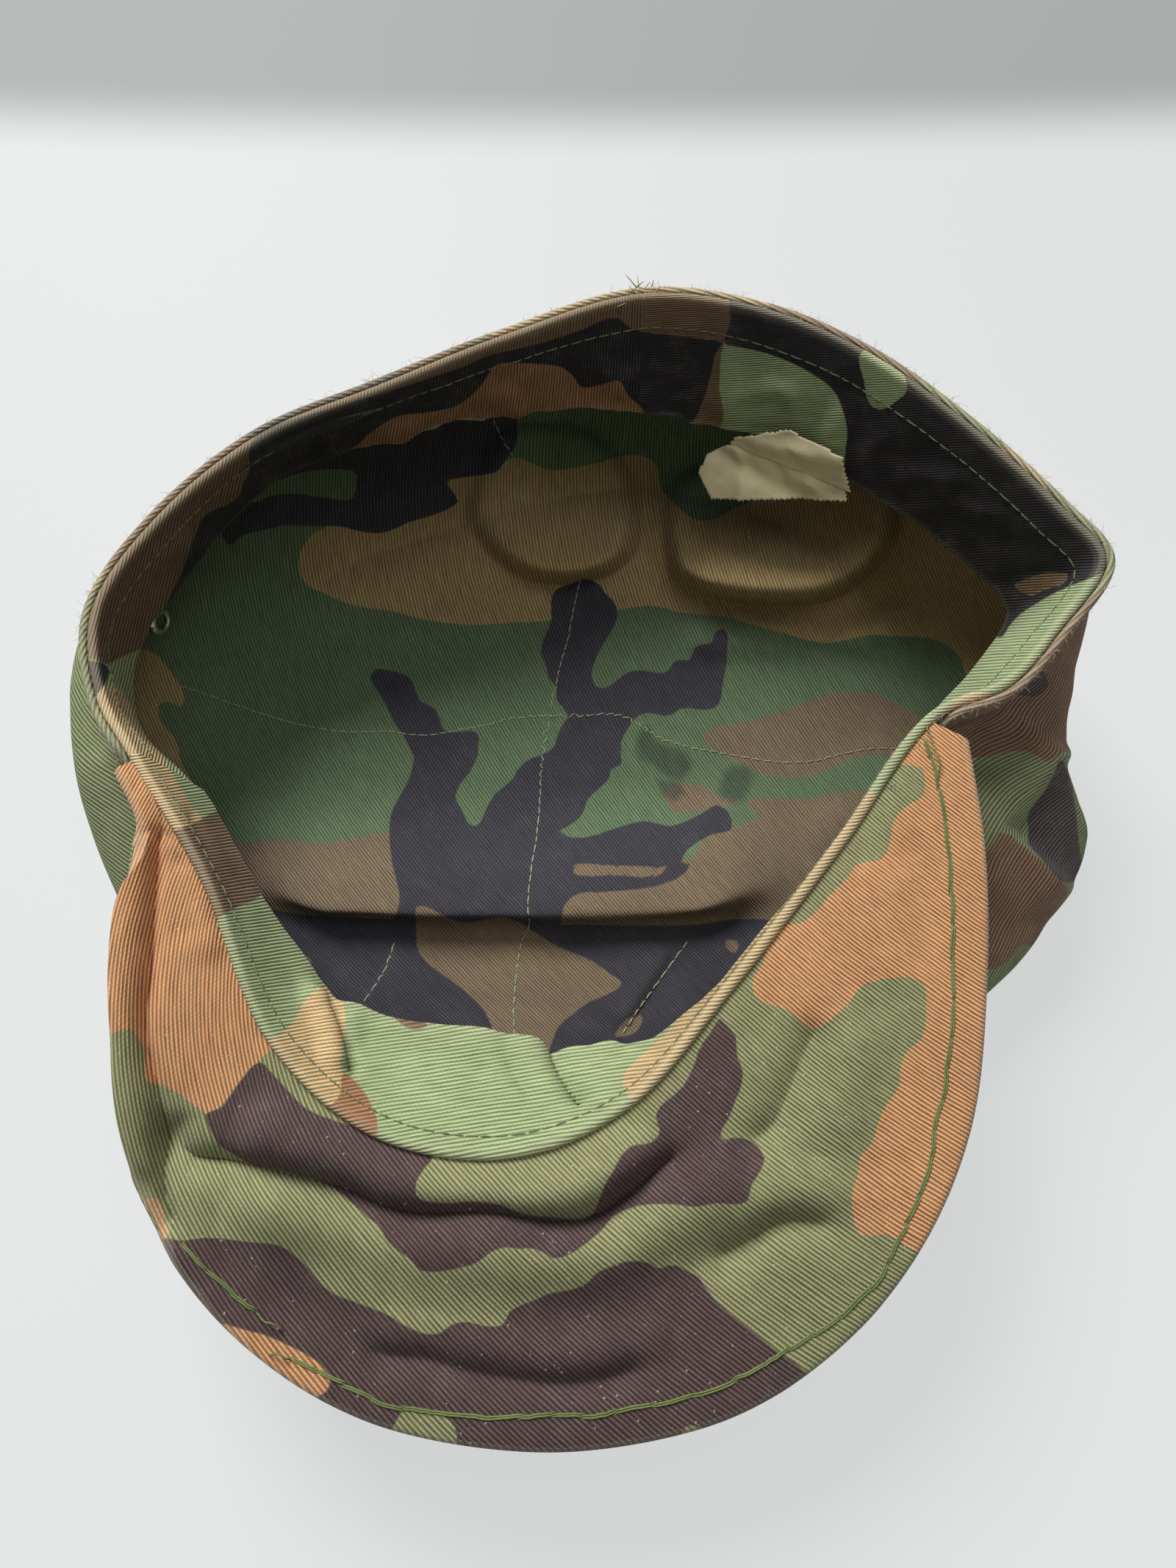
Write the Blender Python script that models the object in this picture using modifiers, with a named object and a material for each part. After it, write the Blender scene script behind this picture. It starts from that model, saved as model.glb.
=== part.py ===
"""Soft field cap in camouflage twill, lying upside down on its collapsed crown.

The cap's opening faces up and the visor points along -Y with its underside up, so +X is the
wearer's right. The crown rests on the plane Z = 0.
"""
import math

import bmesh
import bpy
import numpy as np
from mathutils import Matrix, Vector

MM = 0.001

# ---- driving dimensions, in millimetres -------------------------------------------------
OPENING_WIDTH = 211.0        # across the rim, side to side
OPENING_LENGTH = 180.0       # from the visor seam to the centre-back seam
CAP_HEIGHT = 78.0            # from the surface the crown lies on to the back of the rim
VISOR_DEPTH = 49.0           # from the visor seam to the visor's front edge, at the centre
CLEARANCE = 0.3              # between pieces that touch

OUTER_CLOTH = 1.2            # side walls and crown top: cloth with its backing
LINING_CLOTH = 0.7
BAND_CLOTH = 1.1             # sweatband: folded double
ELASTIC_THICKNESS = 0.8
ELASTIC_WIDTH = 14.0
ELASTIC_DROP = 13.0          # from the rim to the elastic's upper edge
VISOR_CLOTH = 0.8
VISOR_BOARD = 1.4            # stiffener between the two visor covers
BOARD_INSET = 6.0            # from the edge of the covers to the edge of the stiffener
BOARD_SEAM_INSET = 2.0       # and from the visor seam to it
SEAM_STAND = 7.0             # stretch of wall that stands upright below the rim
SEAM_LEAN = 0.25             # how far that stretch leans out
CROWN_FLAT = 0.86            # the flattened crown's reach, as a share of the belly's
CROWN_LIFT = 0.5             # how far the edge of the flattened crown rises
LEDGE_HEIGHT = 11.0          # the fold that lies across the collapsed crown
LEDGE_REACH = 34.0           # from the foot of that fold to its lip
LEDGE_X = -18.0              # the middle of the lip, across the cap
LEDGE_Y = -42.0              # and along the cap
LEDGE_BOW = 0.0006           # how the lip curves back to each side, per mm
LEDGE_DROP = 7.0             # width of the steep face below the lip
LEDGE_HALF_WIDTH = 72.0
LEDGE_FADE = 30.0            # stretch at each end over which the fold dies out

THREAD = 0.5                 # machine stitching
HAND_THREAD = 0.8            # the mending thread along the visor's edge
THREAD_SEAT = 0.5            # from the cloth to a thread, as the cloth is curved
BAND_SEAT = 0.6              # from the lining to the sweatband, for the same reason
VISOR_SEAT = 0.75            # from the wall to the visor's covers
VISOR_BELOW_RIM = 1.0
STITCH_MARGIN = 7.0          # from the visor's edge to the mending thread
TOPSTITCH_DROP = 7.0         # from the rim to its row of topstitching
STITCH_TRIM = 0.1            # from the ends of the sweatband to that row's, in columns

EYELET_BORE = 3.4            # diameter of the hole through a vent eyelet
EYELET_WALL = 0.5
EYELET_FLANGE = 7.2          # diameter
EYELET_SEAT = 0.8            # from the cloth to a flange, as the cloth is curved
EYELET_SIDES = 16
HOLE_DEPTH = 12.0            # long enough to pass through every layer of cloth

LABEL_LENGTH = 36.0
LABEL_DROP = 15.0
LABEL_THICKNESS = 0.8
LABEL_BELOW_BAND = 1.0       # from the band's free edge down to the hinge line
LABEL_TILT = 33.0            # degrees from hanging straight down, towards the inside

# ---- shape of the collapsed cap: one column of points every step round the rim ---------
# Column 0 is the visor's root at +X; the columns run past the back to the root at -X
# (column 15) and return along the visor seam.
RIM = [
    (70, -13, 63), (84.5, -7, 66), (95, 4, 68), (105.5, 19, 72), (98, 31, 73), (80, 51, 75),
    (60, 69, 76), (38, 80, 77), (12, 84, 77), (-19, 75, 74), (-46, 64, 71), (-72, 54, 67),
    (-93, 35, 63.5), (-104, 13, 62), (-101, -6, 60), (-92, -20, 60), (-76, -44, 57),
    (-61, -75, 50), (-40, -92, 46), (-14, -95.5, 45), (8, -86.5, 46.5), (28, -65, 49.5),
    (51, -37, 56),
]
# where each column's cloth stands out furthest: the seam between wall and crown top
BELLY = [
    (103, -33, 27), (105, -17, 34), (104, -2, 44), (108, 20, 52), (104, 40, 48), (88, 64, 42),
    (66, 84, 40), (42, 95, 40), (13, 100, 40), (-21, 92, 40), (-52, 81, 40), (-81, 67, 42),
    (-104, 42, 44), (-114, 14, 46), (-112, -9, 44), (-106, -28, 38), (-94, -54, 30),
    (-75, -82, 25), (-47, -99, 24), (-15, -103, 24), (20, -98, 23), (54, -82, 22),
    (85, -60, 22),
]
# the free edge of the sweatband
BAND_EDGE = [
    (70, -10, 35), (79, 2, 38), (88, 11, 40), (96, 24, 43), (88, 35, 45), (72, 50, 46),
    (54, 61, 47), (34, 71, 47), (12, 79, 46), (-18, 75, 44), (-45, 64, 42), (-68, 56, 38),
    (-88, 34, 34), (-97.5, 12.5, 34), (-93, -4, 33), (-85, -17, 34), (-71, -41, 33),
    (-51, -65, 30), (-32, -70, 29), (-11, -71, 29), (8, -73, 23), (26, -61, 22),
    (50, -35.5, 27),
]
# the visor's outer edge, every half column from the root at -X to the root at +X
VISOR_EDGE = [
    (-95, -22, 60), (-88.5, -35, 59), (-91, -52, 57), (-89.5, -75, 53), (-85, -97, 47.5),
    (-75, -115, 42.5), (-59, -130, 38.5), (-39, -140, 36.5), (-14, -144.5, 35.5),
    (8, -143.5, 35.7), (29, -138, 36.6), (48, -126, 39.5), (62, -110, 44), (71.5, -90, 49.5),
    (75.5, -66, 55.5), (77, -40, 60.5), (75.5, -16, 63.5),
]
CROWN_CENTRE = (-6.0, 15.0)  # where the two rows of quilting cross

COLUMNS = len(RIM)
LEFT_ROOT = 15.0             # the visor's root at -X
RIGHT_ROOT = 23.0            # the visor's root at +X, which is column 0 again
BACK_SEAM = 8.0
FRONT_SEAM = 19.0
ELASTIC_SPAN = (5.0, 11.5)   # columns that the back elastic runs between
QUILT_LEFT = 13.0            # columns of the two rows of quilting
QUILT_RIGHT = 2.5
QUILT_BACK = 8.0
QUILT_FRONT = 19.0
VISOR_TRIM = 0.05            # from the visor's roots to its covers, in columns
BOARD_SPAN = (16.0, 22.5)    # columns that the stiffener runs between
MENDED = (16.55, 22.75)      # columns that the mending thread runs between
LABEL_COLUMN = 6.5           # where the label hangs from the sweatband
EYELETS = {                  # column and step of each vent eyelet
    "left_front": (13.6, 2.5),
    "left_back": (12.35, 2.5),
    "right_front": (2.0, 2.46),
    "right_back": (3.2, 2.5),
}
# the label hangs askew: shares of its length and drop, from the middle of its hinge line
LABEL_OUTLINE = [
    (-0.25, 0.0), (0.53, 0.0), (0.58, 0.2), (-0.28, 1.0), (-0.42, 0.67), (-0.4, 0.33),
]
GRID = 2                     # lines of the cloth's grid to each column, shared by all layers
DARTS = {                    # column of each dart and how far it runs down the profile
    "front_left": (17.5, 2.2, 3.5),
    "front_right": (20.5, 2.2, 3.5),
    "back_left": (9.5, 2.0, 3.8),
    "back_right": (6.5, 2.0, 3.8),
}
# a column's profile steps from the rim (0) past the upright stretch (1) and the belly (2) to
# the edge of the flattened crown (3), over two rings on it and in to its centre (6)
UPRIGHT_STEP = 1.0
BELLY_STEP = 2.0
FLAT_STEP = 3.0
CROWN_RINGS = (0.66, 0.33)
LAST_STEP = 6.0
SEAM_STEP = 2.6              # the seam between the walls and the crown top
SEAM_GAP = 0.02
CROSSING_GAP = 0.06          # between the two rows of quilting where they cross, in steps
CROWN_ROWS = [
    0.0, 0.4, 0.8, 1.0, 1.3, 1.6, 2.0, 2.3, SEAM_STEP - SEAM_GAP, SEAM_STEP + SEAM_GAP, 2.85,
    3.1, 3.4, 3.7, 3.95, 4.2, 4.5, 4.9, 5.5,
]
BAND_ROWS = 3
VISOR_ROWS = 4

NOMINAL_WIDTH = 211.0        # the size that the columns above are written at
NOMINAL_LENGTH = 180.0
NOMINAL_HEIGHT = 78.0
NOMINAL_VISOR = 49.0
SCALE = np.array([
    OPENING_WIDTH / NOMINAL_WIDTH, OPENING_LENGTH / NOMINAL_LENGTH, CAP_HEIGHT / NOMINAL_HEIGHT,
])
FLOOR = OUTER_CLOTH + CLEARANCE / 2      # height of the seam plane between the two layers


# ---- curves and surfaces ----------------------------------------------------------------
def spline(p0, p1, p2, p3, t):
    """Centripetal Catmull-Rom point between p1 and p2."""
    pairs = ((p0, p1), (p1, p2), (p2, p3))
    a, b, c = (max(np.linalg.norm(q - p), 1e-9) ** 0.5 for p, q in pairs)
    leave = (p1 - p0) / a - (p2 - p0) / (a + b) + (p2 - p1) / b
    arrive = (p2 - p1) / b - (p3 - p1) / (b + c) + (p3 - p2) / c
    m1, m2 = leave * b, arrive * b
    return ((2 * t ** 3 - 3 * t ** 2 + 1) * p1 + (t ** 3 - 2 * t ** 2 + t) * m1
            + (3 * t ** 2 - 2 * t ** 3) * p2 + (t ** 3 - t ** 2) * m2)


def on_loop(points, u):
    """Point at column u of a closed list."""
    count = len(points)
    i = math.floor(u)
    p = [np.array(points[(i + k) % count], float) * SCALE for k in (-1, 0, 1, 2)]
    return spline(*p, u - i)


def on_path(points, u):
    """Point at step u of an open list of arrays."""
    last = len(points) - 1
    i = min(max(math.floor(u), 0), last - 1)
    before = points[i - 1] if i > 0 else 2 * points[0] - points[1]
    after = points[i + 2] if i + 2 <= last else 2 * points[last] - points[last - 1]
    return spline(before, points[i], points[i + 1], after, u - i)


def unit(v):
    return v / np.linalg.norm(v)


def rim_outward(u):
    """Level direction out of the opening at column u."""
    along = on_loop(RIM, u + 0.02) - on_loop(RIM, u - 0.02)
    return unit(np.array([along[1], -along[0], 0.0]))


def ease(f):
    """0 below 0, 1 above 1 and smooth between."""
    f = min(max(f, 0.0), 1.0)
    return f * f * (3 - 2 * f)


def ledge(x, y):
    """Height that the cross fold adds to the crown at a place in plan."""
    x, y = x / SCALE[0] - LEDGE_X, y / SCALE[1]
    lip = LEDGE_Y + LEDGE_BOW * x ** 2
    behind = ease((lip + LEDGE_REACH - y) / LEDGE_REACH)
    drop = ease((y - lip + LEDGE_DROP) / LEDGE_DROP)
    side = ease((LEDGE_HALF_WIDTH - abs(x)) / LEDGE_FADE)
    return LEDGE_HEIGHT * behind * drop * side


def profile(u):
    """The column's points from the rim down the wall and in to the crown's centre."""
    rim = on_loop(RIM, u)
    belly = on_loop(BELLY, u)
    centre = np.array([CROWN_CENTRE[0] * SCALE[0], CROWN_CENTRE[1] * SCALE[1], FLOOR])
    upright = rim + rim_outward(u) * SEAM_LEAN - np.array([0, 0, SEAM_STAND])
    base = centre + (belly - centre) * CROWN_FLAT
    base[2] = FLOOR + CROWN_LIFT
    inner = [centre + (base - centre) * f for f in CROWN_RINGS]
    for point in inner:
        point[2] = FLOOR
    return [rim, upright, belly, base, *inner, centre]


def crown(u, t):
    """Point of the crown's seam plane: t runs from the rim (0) to the centre (LAST_STEP)."""
    point = on_path(profile(u), t)
    if t > FLAT_STEP or point[2] < FLOOR:
        point[2] = FLOOR
    if t > BELLY_STEP:
        point[2] += ledge(point[0], point[1])
    return point


def offset(surface, u, v, distance):
    """The surface's point moved out along its normal."""
    step = 0.03
    across = surface(u + step, v) - surface(u - step, v)
    down = surface(u, v + step) - surface(u, max(v - step, 0.0))
    return surface(u, v) + unit(np.cross(down, across)) * distance


def crown_at(u, t, distance):
    if t >= LAST_STEP:
        return crown(u, LAST_STEP) - np.array([0, 0, distance])
    return offset(crown, u, t, distance)


def band(u, w):
    """Point of the sweatband's outer face: w runs from the rim (0) to its free edge (1)."""
    start = on_loop(RIM, u) - rim_outward(u) * (CLEARANCE / 2 + LINING_CLOTH + BAND_SEAT)
    end = on_loop(BAND_EDGE, u)
    return start + (end - start) * w


def visor(u, b):
    """Point of the visor's middle plane: b runs from the seam (0) to the outer edge (1)."""
    gap = CLEARANCE / 2 + OUTER_CLOTH + VISOR_SEAT
    inner = on_loop(RIM, u) + rim_outward(u) * gap - np.array([0, 0, VISOR_BELOW_RIM])
    edge = [np.array(p, float) * SCALE for p in VISOR_EDGE]
    outer = on_path(edge, (u - LEFT_ROOT) * 2)
    return inner + (outer - inner) * b * VISOR_DEPTH / NOMINAL_VISOR


# ---- making objects ---------------------------------------------------------------------
def clear_scene():
    for obj in list(bpy.data.objects):
        bpy.data.objects.remove(obj, do_unlink=True)


def material(name, colour, roughness=0.9, metallic=0.0):
    mat = bpy.data.materials.new(name)
    mat.use_nodes = True
    shader = mat.node_tree.nodes["Principled BSDF"]
    shader.inputs["Base Color"].default_value = (*colour, 1.0)
    shader.inputs["Roughness"].default_value = roughness
    shader.inputs["Metallic"].default_value = metallic
    return mat


def add(name, mesh, collection, mat):
    obj = bpy.data.objects.new(name, mesh)
    collection.objects.link(obj)
    if mat:
        mesh.materials.append(mat)
    return obj


def sheet_mesh(name, surface, columns, rows, pole=None):
    """A smooth open sheet on a grid of places; pole closes the last row on one point."""
    work = bmesh.new()
    grid = [[work.verts.new(Vector(surface(u, v) * MM)) for v in rows] for u in columns]
    for left, right in zip(grid, grid[1:]):
        for k in range(len(rows) - 1):
            corners = (left[k], left[k + 1], right[k + 1], right[k])
            work.faces.new(corners)
    if pole is not None:
        tip = work.verts.new(Vector(pole * MM))
        ring = [column[-1] for column in grid]
        for a, b in zip(ring, ring[1:]):
            work.faces.new((a, tip, b))
        work.faces.new((ring[-1], tip, ring[0]))
        for corners in zip(grid[-1], grid[-1][1:], grid[0][1:], grid[0]):
            work.faces.new(corners)
    mesh = bpy.data.meshes.new(name)
    work.to_mesh(mesh)
    work.free()
    mesh.shade_smooth()
    return mesh


def thicken(obj, thickness, side):
    """side is 1 to grow out of the cap and -1 to grow into it."""
    solid = obj.modifiers.new("thickness", "SOLIDIFY")
    solid.thickness = thickness * MM
    solid.offset = side


def steps(start, end, count):
    return [start + (end - start) * k / count for k in range(count + 1)]


def grid_columns(start, end):
    """The lines of the shared grid from start to end, with both ends."""
    inner = range(math.ceil(start * GRID + 0.2), math.floor(end * GRID - 0.2) + 1)
    return [start, *(k / GRID for k in inner), end]


def make_thread(name, points, diameter, collection, mat):
    curve = bpy.data.curves.new(name, "CURVE")
    curve.dimensions = "3D"
    curve.bevel_depth = diameter / 2 * MM
    curve.bevel_resolution = 1
    curve.use_fill_caps = True
    line = curve.splines.new("POLY")
    line.points.add(len(points) - 1)
    for slot, point in zip(line.points, points):
        slot.co = (*(point * MM), 1.0)
    obj = bpy.data.objects.new(name, curve)
    collection.objects.link(obj)
    curve.materials.append(mat)
    return obj


# ---- the pieces -------------------------------------------------------------------------
def half_gap(surface, u, v):
    """Half the clearance along a sheet's edge, in columns."""
    length = np.linalg.norm(surface(u + 0.05, v) - surface(u - 0.05, v)) / 0.1
    return CLEARANCE / 2 / length


def wall_face(u, t):
    return crown_at(u, t, CLEARANCE / 2)


def lining_face(u, t):
    return crown_at(u, t, -CLEARANCE / 2)


def round_the_loop():
    return steps(0.0, COLUMNS, COLUMNS * GRID)[:-1]


def make_side_walls(collection, mat):
    rows = [t for t in CROWN_ROWS if t < SEAM_STEP]
    spans = {
        "side_wall_right": (FRONT_SEAM - COLUMNS, BACK_SEAM),
        "side_wall_left": (BACK_SEAM, FRONT_SEAM),
    }
    for name, (start, end) in spans.items():
        gap = 2 * max(half_gap(crown, start, 0.0), half_gap(crown, end, 0.0))
        columns = grid_columns(start + gap, end - gap)
        obj = add(name, sheet_mesh(name, wall_face, columns, rows), collection, mat)
        thicken(obj, OUTER_CLOTH, 1)
        yield obj


def make_crown_top(collection, mat):
    rows = [t for t in CROWN_ROWS if t > SEAM_STEP]
    middle = wall_face(0, LAST_STEP)
    mesh = sheet_mesh("crown_top", wall_face, round_the_loop(), rows, pole=middle)
    thicken(add("crown_top", mesh, collection, mat), OUTER_CLOTH, 1)


def make_lining(collection, mat):
    middle = lining_face(0, LAST_STEP)
    mesh = sheet_mesh("crown_lining", lining_face, round_the_loop(), CROWN_ROWS, pole=middle)
    obj = add("crown_lining", mesh, collection, mat)
    thicken(obj, LINING_CLOTH, -1)
    return obj


def make_sweatbands(collection, mat):
    spans = {
        "sweatband_right": (RIGHT_ROOT - COLUMNS, BACK_SEAM),
        "sweatband_left": (BACK_SEAM, LEFT_ROOT),
        "sweatband_front": (LEFT_ROOT, RIGHT_ROOT),
    }
    for name, (start, end) in spans.items():
        first = start + 2 * half_gap(band, start, 0.0)
        columns = grid_columns(first, end - 2 * half_gap(band, end, 0.0))
        mesh = sheet_mesh(name, band, columns, steps(0.0, 1.0, BAND_ROWS))
        thicken(add(name, mesh, collection, mat), BAND_CLOTH, -1)


def make_elastic(collection, mat):
    def face(u, w):
        return offset(band, u, w, CLEARANCE)

    drop = np.linalg.norm(band(BACK_SEAM, 1.0) - band(BACK_SEAM, 0.0))
    top = ELASTIC_DROP / drop
    rows = steps(top, top + ELASTIC_WIDTH / drop, 2)
    mesh = sheet_mesh("back_elastic", face, grid_columns(*ELASTIC_SPAN), rows)
    thicken(add("back_elastic", mesh, collection, mat), ELASTIC_THICKNESS, 1)


def visor_width(u):
    return np.linalg.norm(visor(u, 1.0) - visor(u, 0.0))


def make_visor(collection, cloth, board):
    half_board = VISOR_BOARD / 2
    rows = steps(0.0, 1.0, VISOR_ROWS)

    def under_face(u, b):
        return offset(visor, u, b, half_board + CLEARANCE)

    def top_face(u, b):
        return offset(visor, u, b, -half_board - CLEARANCE)

    def board_face(u, b):
        near = BOARD_SEAM_INSET / visor_width(u)
        far = 1.0 - BOARD_INSET / visor_width(u)
        return offset(visor, u, near + (far - near) * b, -half_board)

    whole = grid_columns(LEFT_ROOT + VISOR_TRIM, RIGHT_ROOT - VISOR_TRIM)
    mesh = sheet_mesh("visor_under_cover", under_face, whole, rows)
    thicken(add("visor_under_cover", mesh, collection, cloth), VISOR_CLOTH, 1)
    mesh = sheet_mesh("visor_top_cover", top_face, whole, rows)
    thicken(add("visor_top_cover", mesh, collection, cloth), VISOR_CLOTH, -1)
    mesh = sheet_mesh("visor_board", board_face, grid_columns(*BOARD_SPAN), rows)
    thicken(add("visor_board", mesh, collection, board), VISOR_BOARD, 1)


def make_threads(collection, machine, hand):
    on_lining = -(CLEARANCE / 2 + LINING_CLOTH + THREAD_SEAT + THREAD / 2)
    rows = [t for t in CROWN_ROWS if t > UPRIGHT_STEP]
    left = [crown_at(QUILT_LEFT, t, on_lining) for t in rows]
    right = [crown_at(QUILT_RIGHT, t, on_lining) for t in rows[::-1]]
    middle = [crown_at(0, LAST_STEP, on_lining)]
    make_thread("coronal_stitch", left + middle + right, THREAD, collection, machine)
    short = (*rows[1:], LAST_STEP - CROSSING_GAP)
    for name, column in (("back", QUILT_BACK), ("front", QUILT_FRONT)):
        points = [crown_at(column, t, on_lining) for t in short]
        make_thread("sagittal_stitch_" + name, points, THREAD, collection, machine)
    for name, (column, start, end) in DARTS.items():
        points = [crown_at(column, t, on_lining) for t in rows if start <= t <= end]
        make_thread("dart_stitch_" + name, points, THREAD, collection, machine)

    on_band = -(BAND_CLOTH + THREAD_SEAT + THREAD / 2)
    runs = {"rim_topstitch": (0.0, LEFT_ROOT), "front_topstitch": (LEFT_ROOT, RIGHT_ROOT)}
    for name, (start, end) in runs.items():
        points = []
        for u in grid_columns(start + STITCH_TRIM, end - STITCH_TRIM):
            drop = np.linalg.norm(band(u, 1.0) - band(u, 0.0))
            points.append(offset(band, u, TOPSTITCH_DROP / drop, on_band))
        make_thread(name, points, THREAD, collection, machine)

    on_visor = VISOR_BOARD / 2 + CLEARANCE + VISOR_CLOTH + THREAD_SEAT + HAND_THREAD / 2
    points = []
    for u in grid_columns(*MENDED):
        points.append(offset(visor, u, 1.0 - STITCH_MARGIN / visor_width(u), on_visor))
    make_thread("visor_mending_stitch", points, HAND_THREAD, collection, hand)


def turned_to(centre, axis):
    """The placement of a round piece whose own axis is +Z."""
    turn = Vector((0, 0, 1)).rotation_difference(Vector(axis)).to_matrix().to_4x4()
    return Matrix.Translation(Vector(centre * MM)) @ turn


def turned(name, profile_points, centre, axis, collection, mat):
    """A ring turned about the wall's normal; the profile runs down its outer side."""
    work = bmesh.new()
    verts = [work.verts.new((r * MM, 0, h * MM)) for r, h in profile_points]
    for a, b in zip(verts, verts[1:] + verts[:1]):
        work.edges.new((a, b))
    mesh = bpy.data.meshes.new(name)
    work.to_mesh(mesh)
    work.free()
    obj = add(name, mesh, collection, mat)
    screw = obj.modifiers.new("turn", "SCREW")
    screw.steps = EYELET_SIDES
    screw.render_steps = EYELET_SIDES
    screw.use_merge_vertices = True
    screw.merge_threshold = 1e-5
    obj.matrix_world = turned_to(centre, axis)


def cut_hole(name, radius, centre, axis, cutters, cloths):
    bpy.ops.mesh.primitive_cylinder_add(
        vertices=EYELET_SIDES, radius=radius * MM, depth=HOLE_DEPTH * MM)
    cutter = bpy.context.object
    cutter.name = "hole_" + name
    for other in list(cutter.users_collection):
        other.objects.unlink(cutter)
    cutters.objects.link(cutter)
    cutter.matrix_world = turned_to(centre, axis)
    cutter.hide_render = True
    cutter.display_type = "WIRE"
    for cloth in cloths:
        cut = cloth.modifiers.new("cut_" + name, "BOOLEAN")
        cut.operation = "DIFFERENCE"
        cut.solver = "EXACT"
        cut.object = cutter


def make_eyelets(collection, cutters, metal, walls, lining):
    bore = EYELET_BORE / 2
    barrel = bore + EYELET_WALL
    hole = barrel + CLEARANCE
    flange = EYELET_FLANGE / 2
    seat = CLEARANCE / 2 + OUTER_CLOTH + EYELET_SEAT
    top = seat + EYELET_WALL
    washer_top = -(CLEARANCE / 2 + LINING_CLOTH + EYELET_SEAT)
    foot = washer_top - EYELET_WALL
    eyelet = [(flange, top), (flange, seat), (barrel, seat), (barrel, foot), (bore, foot), (bore, top)]
    washer = [(flange, washer_top), (flange, foot), (hole, foot), (hole, washer_top)]
    for name, (column, step) in EYELETS.items():
        centre = crown(column, step)
        axis = unit(crown_at(column, step, 1.0) - centre)
        turned("eyelet_" + name, eyelet, centre, axis, collection, metal)
        turned("washer_" + name, washer, centre, axis, collection, metal)
        cut_hole(name, hole, centre, axis, cutters, (*walls, lining))


def label_frame():
    """Hinge point, hinge direction and inward direction of the label."""
    along = band(LABEL_COLUMN - 0.5, 1.0) - band(LABEL_COLUMN + 0.5, 1.0)
    along = unit(np.array([along[0], along[1], 0.0]))
    inward = np.cross(along, (0.0, 0.0, 1.0))
    pivot = band(LABEL_COLUMN, 1.0) + inward * (BAND_CLOTH + CLEARANCE + LABEL_THICKNESS)
    pivot[2] -= LABEL_BELOW_BAND
    return pivot, along, inward


def make_label(collection, mat):
    pivot, along, inward = label_frame()
    tilt = math.radians(LABEL_TILT)
    down = inward * math.sin(tilt) - np.array([0, 0, math.cos(tilt)])
    outline = bpy.data.curves.new("care_label", "CURVE")
    outline.dimensions = "2D"
    outline.fill_mode = "BOTH"
    outline.extrude = LABEL_THICKNESS / 2 * MM
    edge = outline.splines.new("POLY")
    edge.points.add(len(LABEL_OUTLINE) - 1)
    for slot, (x, y) in zip(edge.points, LABEL_OUTLINE):
        slot.co = (x * LABEL_LENGTH * MM, y * LABEL_DROP * MM, 0, 1)
    edge.use_cyclic_u = True
    obj = bpy.data.objects.new("care_label", outline)
    collection.objects.link(obj)
    turn = Matrix((along, down, np.cross(along, down))).transposed().to_4x4()
    obj.matrix_world = Matrix.Translation(Vector(pivot * MM)) @ turn
    outline.materials.append(mat)


def build():
    clear_scene()
    cap = bpy.data.collections.new("field_cap")
    cutters = bpy.data.collections.new("cutters")
    bpy.context.scene.collection.children.link(cap)
    bpy.context.scene.collection.children.link(cutters)

    outer_twill = material("outer_twill", (0.20, 0.22, 0.10))
    crown_twill = material("crown_twill", (0.14, 0.10, 0.06))
    lining_twill = material("lining_twill", (0.06, 0.14, 0.06))
    band_twill = material("band_twill", (0.10, 0.08, 0.06))
    visor_twill = material("visor_twill", (0.36, 0.20, 0.10))
    elastic = material("elastic", (0.75, 0.73, 0.68))
    board = material("visor_board", (0.55, 0.50, 0.40), roughness=0.7)
    machine_thread = material("machine_thread", (0.30, 0.36, 0.22), roughness=0.7)
    mending_thread = material("mending_thread", (0.08, 0.16, 0.04), roughness=0.7)
    nickel = material("nickel", (0.75, 0.75, 0.73), roughness=0.25, metallic=1.0)
    label_tape = material("label_tape", (0.62, 0.58, 0.42))

    walls = list(make_side_walls(cap, outer_twill))
    make_crown_top(cap, crown_twill)
    lining = make_lining(cap, lining_twill)
    make_sweatbands(cap, band_twill)
    make_elastic(cap, elastic)
    make_visor(cap, visor_twill, board)
    make_threads(cap, machine_thread, mending_thread)
    make_eyelets(cap, cutters, nickel, walls, lining)
    make_label(cap, label_tape)


build()
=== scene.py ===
"""Soft field cap in woodland twill, upside down on its collapsed crown.

Lengths in the lists are in millimetres. The print, folds and hand stitching are placed on a flat
pattern: every point of the cloth is carried to the floor along the line from one point above the
visor, and that place on the floor is its place on the pattern.
"""
import functools
import math
import random

import bpy
import numpy as np
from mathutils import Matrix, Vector, noise


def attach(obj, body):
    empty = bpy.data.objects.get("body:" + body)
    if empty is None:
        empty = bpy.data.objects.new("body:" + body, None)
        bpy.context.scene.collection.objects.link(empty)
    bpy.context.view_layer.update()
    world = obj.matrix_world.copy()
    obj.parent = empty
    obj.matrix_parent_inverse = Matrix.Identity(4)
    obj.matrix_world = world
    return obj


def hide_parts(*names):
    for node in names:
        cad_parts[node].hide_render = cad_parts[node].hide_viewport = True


bl_info = {
    "name": "Field Cap",
    "version": (1, 0, 0),
    "blender": (4, 5, 0),
    "location": "3D View > Sidebar > Field Cap",
    "description": "Builds a soft camouflage field cap and its stage",
    "category": "Add Mesh",
}

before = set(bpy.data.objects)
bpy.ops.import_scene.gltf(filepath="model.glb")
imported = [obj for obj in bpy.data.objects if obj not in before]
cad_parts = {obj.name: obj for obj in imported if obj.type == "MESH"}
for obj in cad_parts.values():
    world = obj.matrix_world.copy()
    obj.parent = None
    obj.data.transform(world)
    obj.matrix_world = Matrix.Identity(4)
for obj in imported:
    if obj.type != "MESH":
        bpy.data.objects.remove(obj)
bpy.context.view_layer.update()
MM = 0.001

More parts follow.
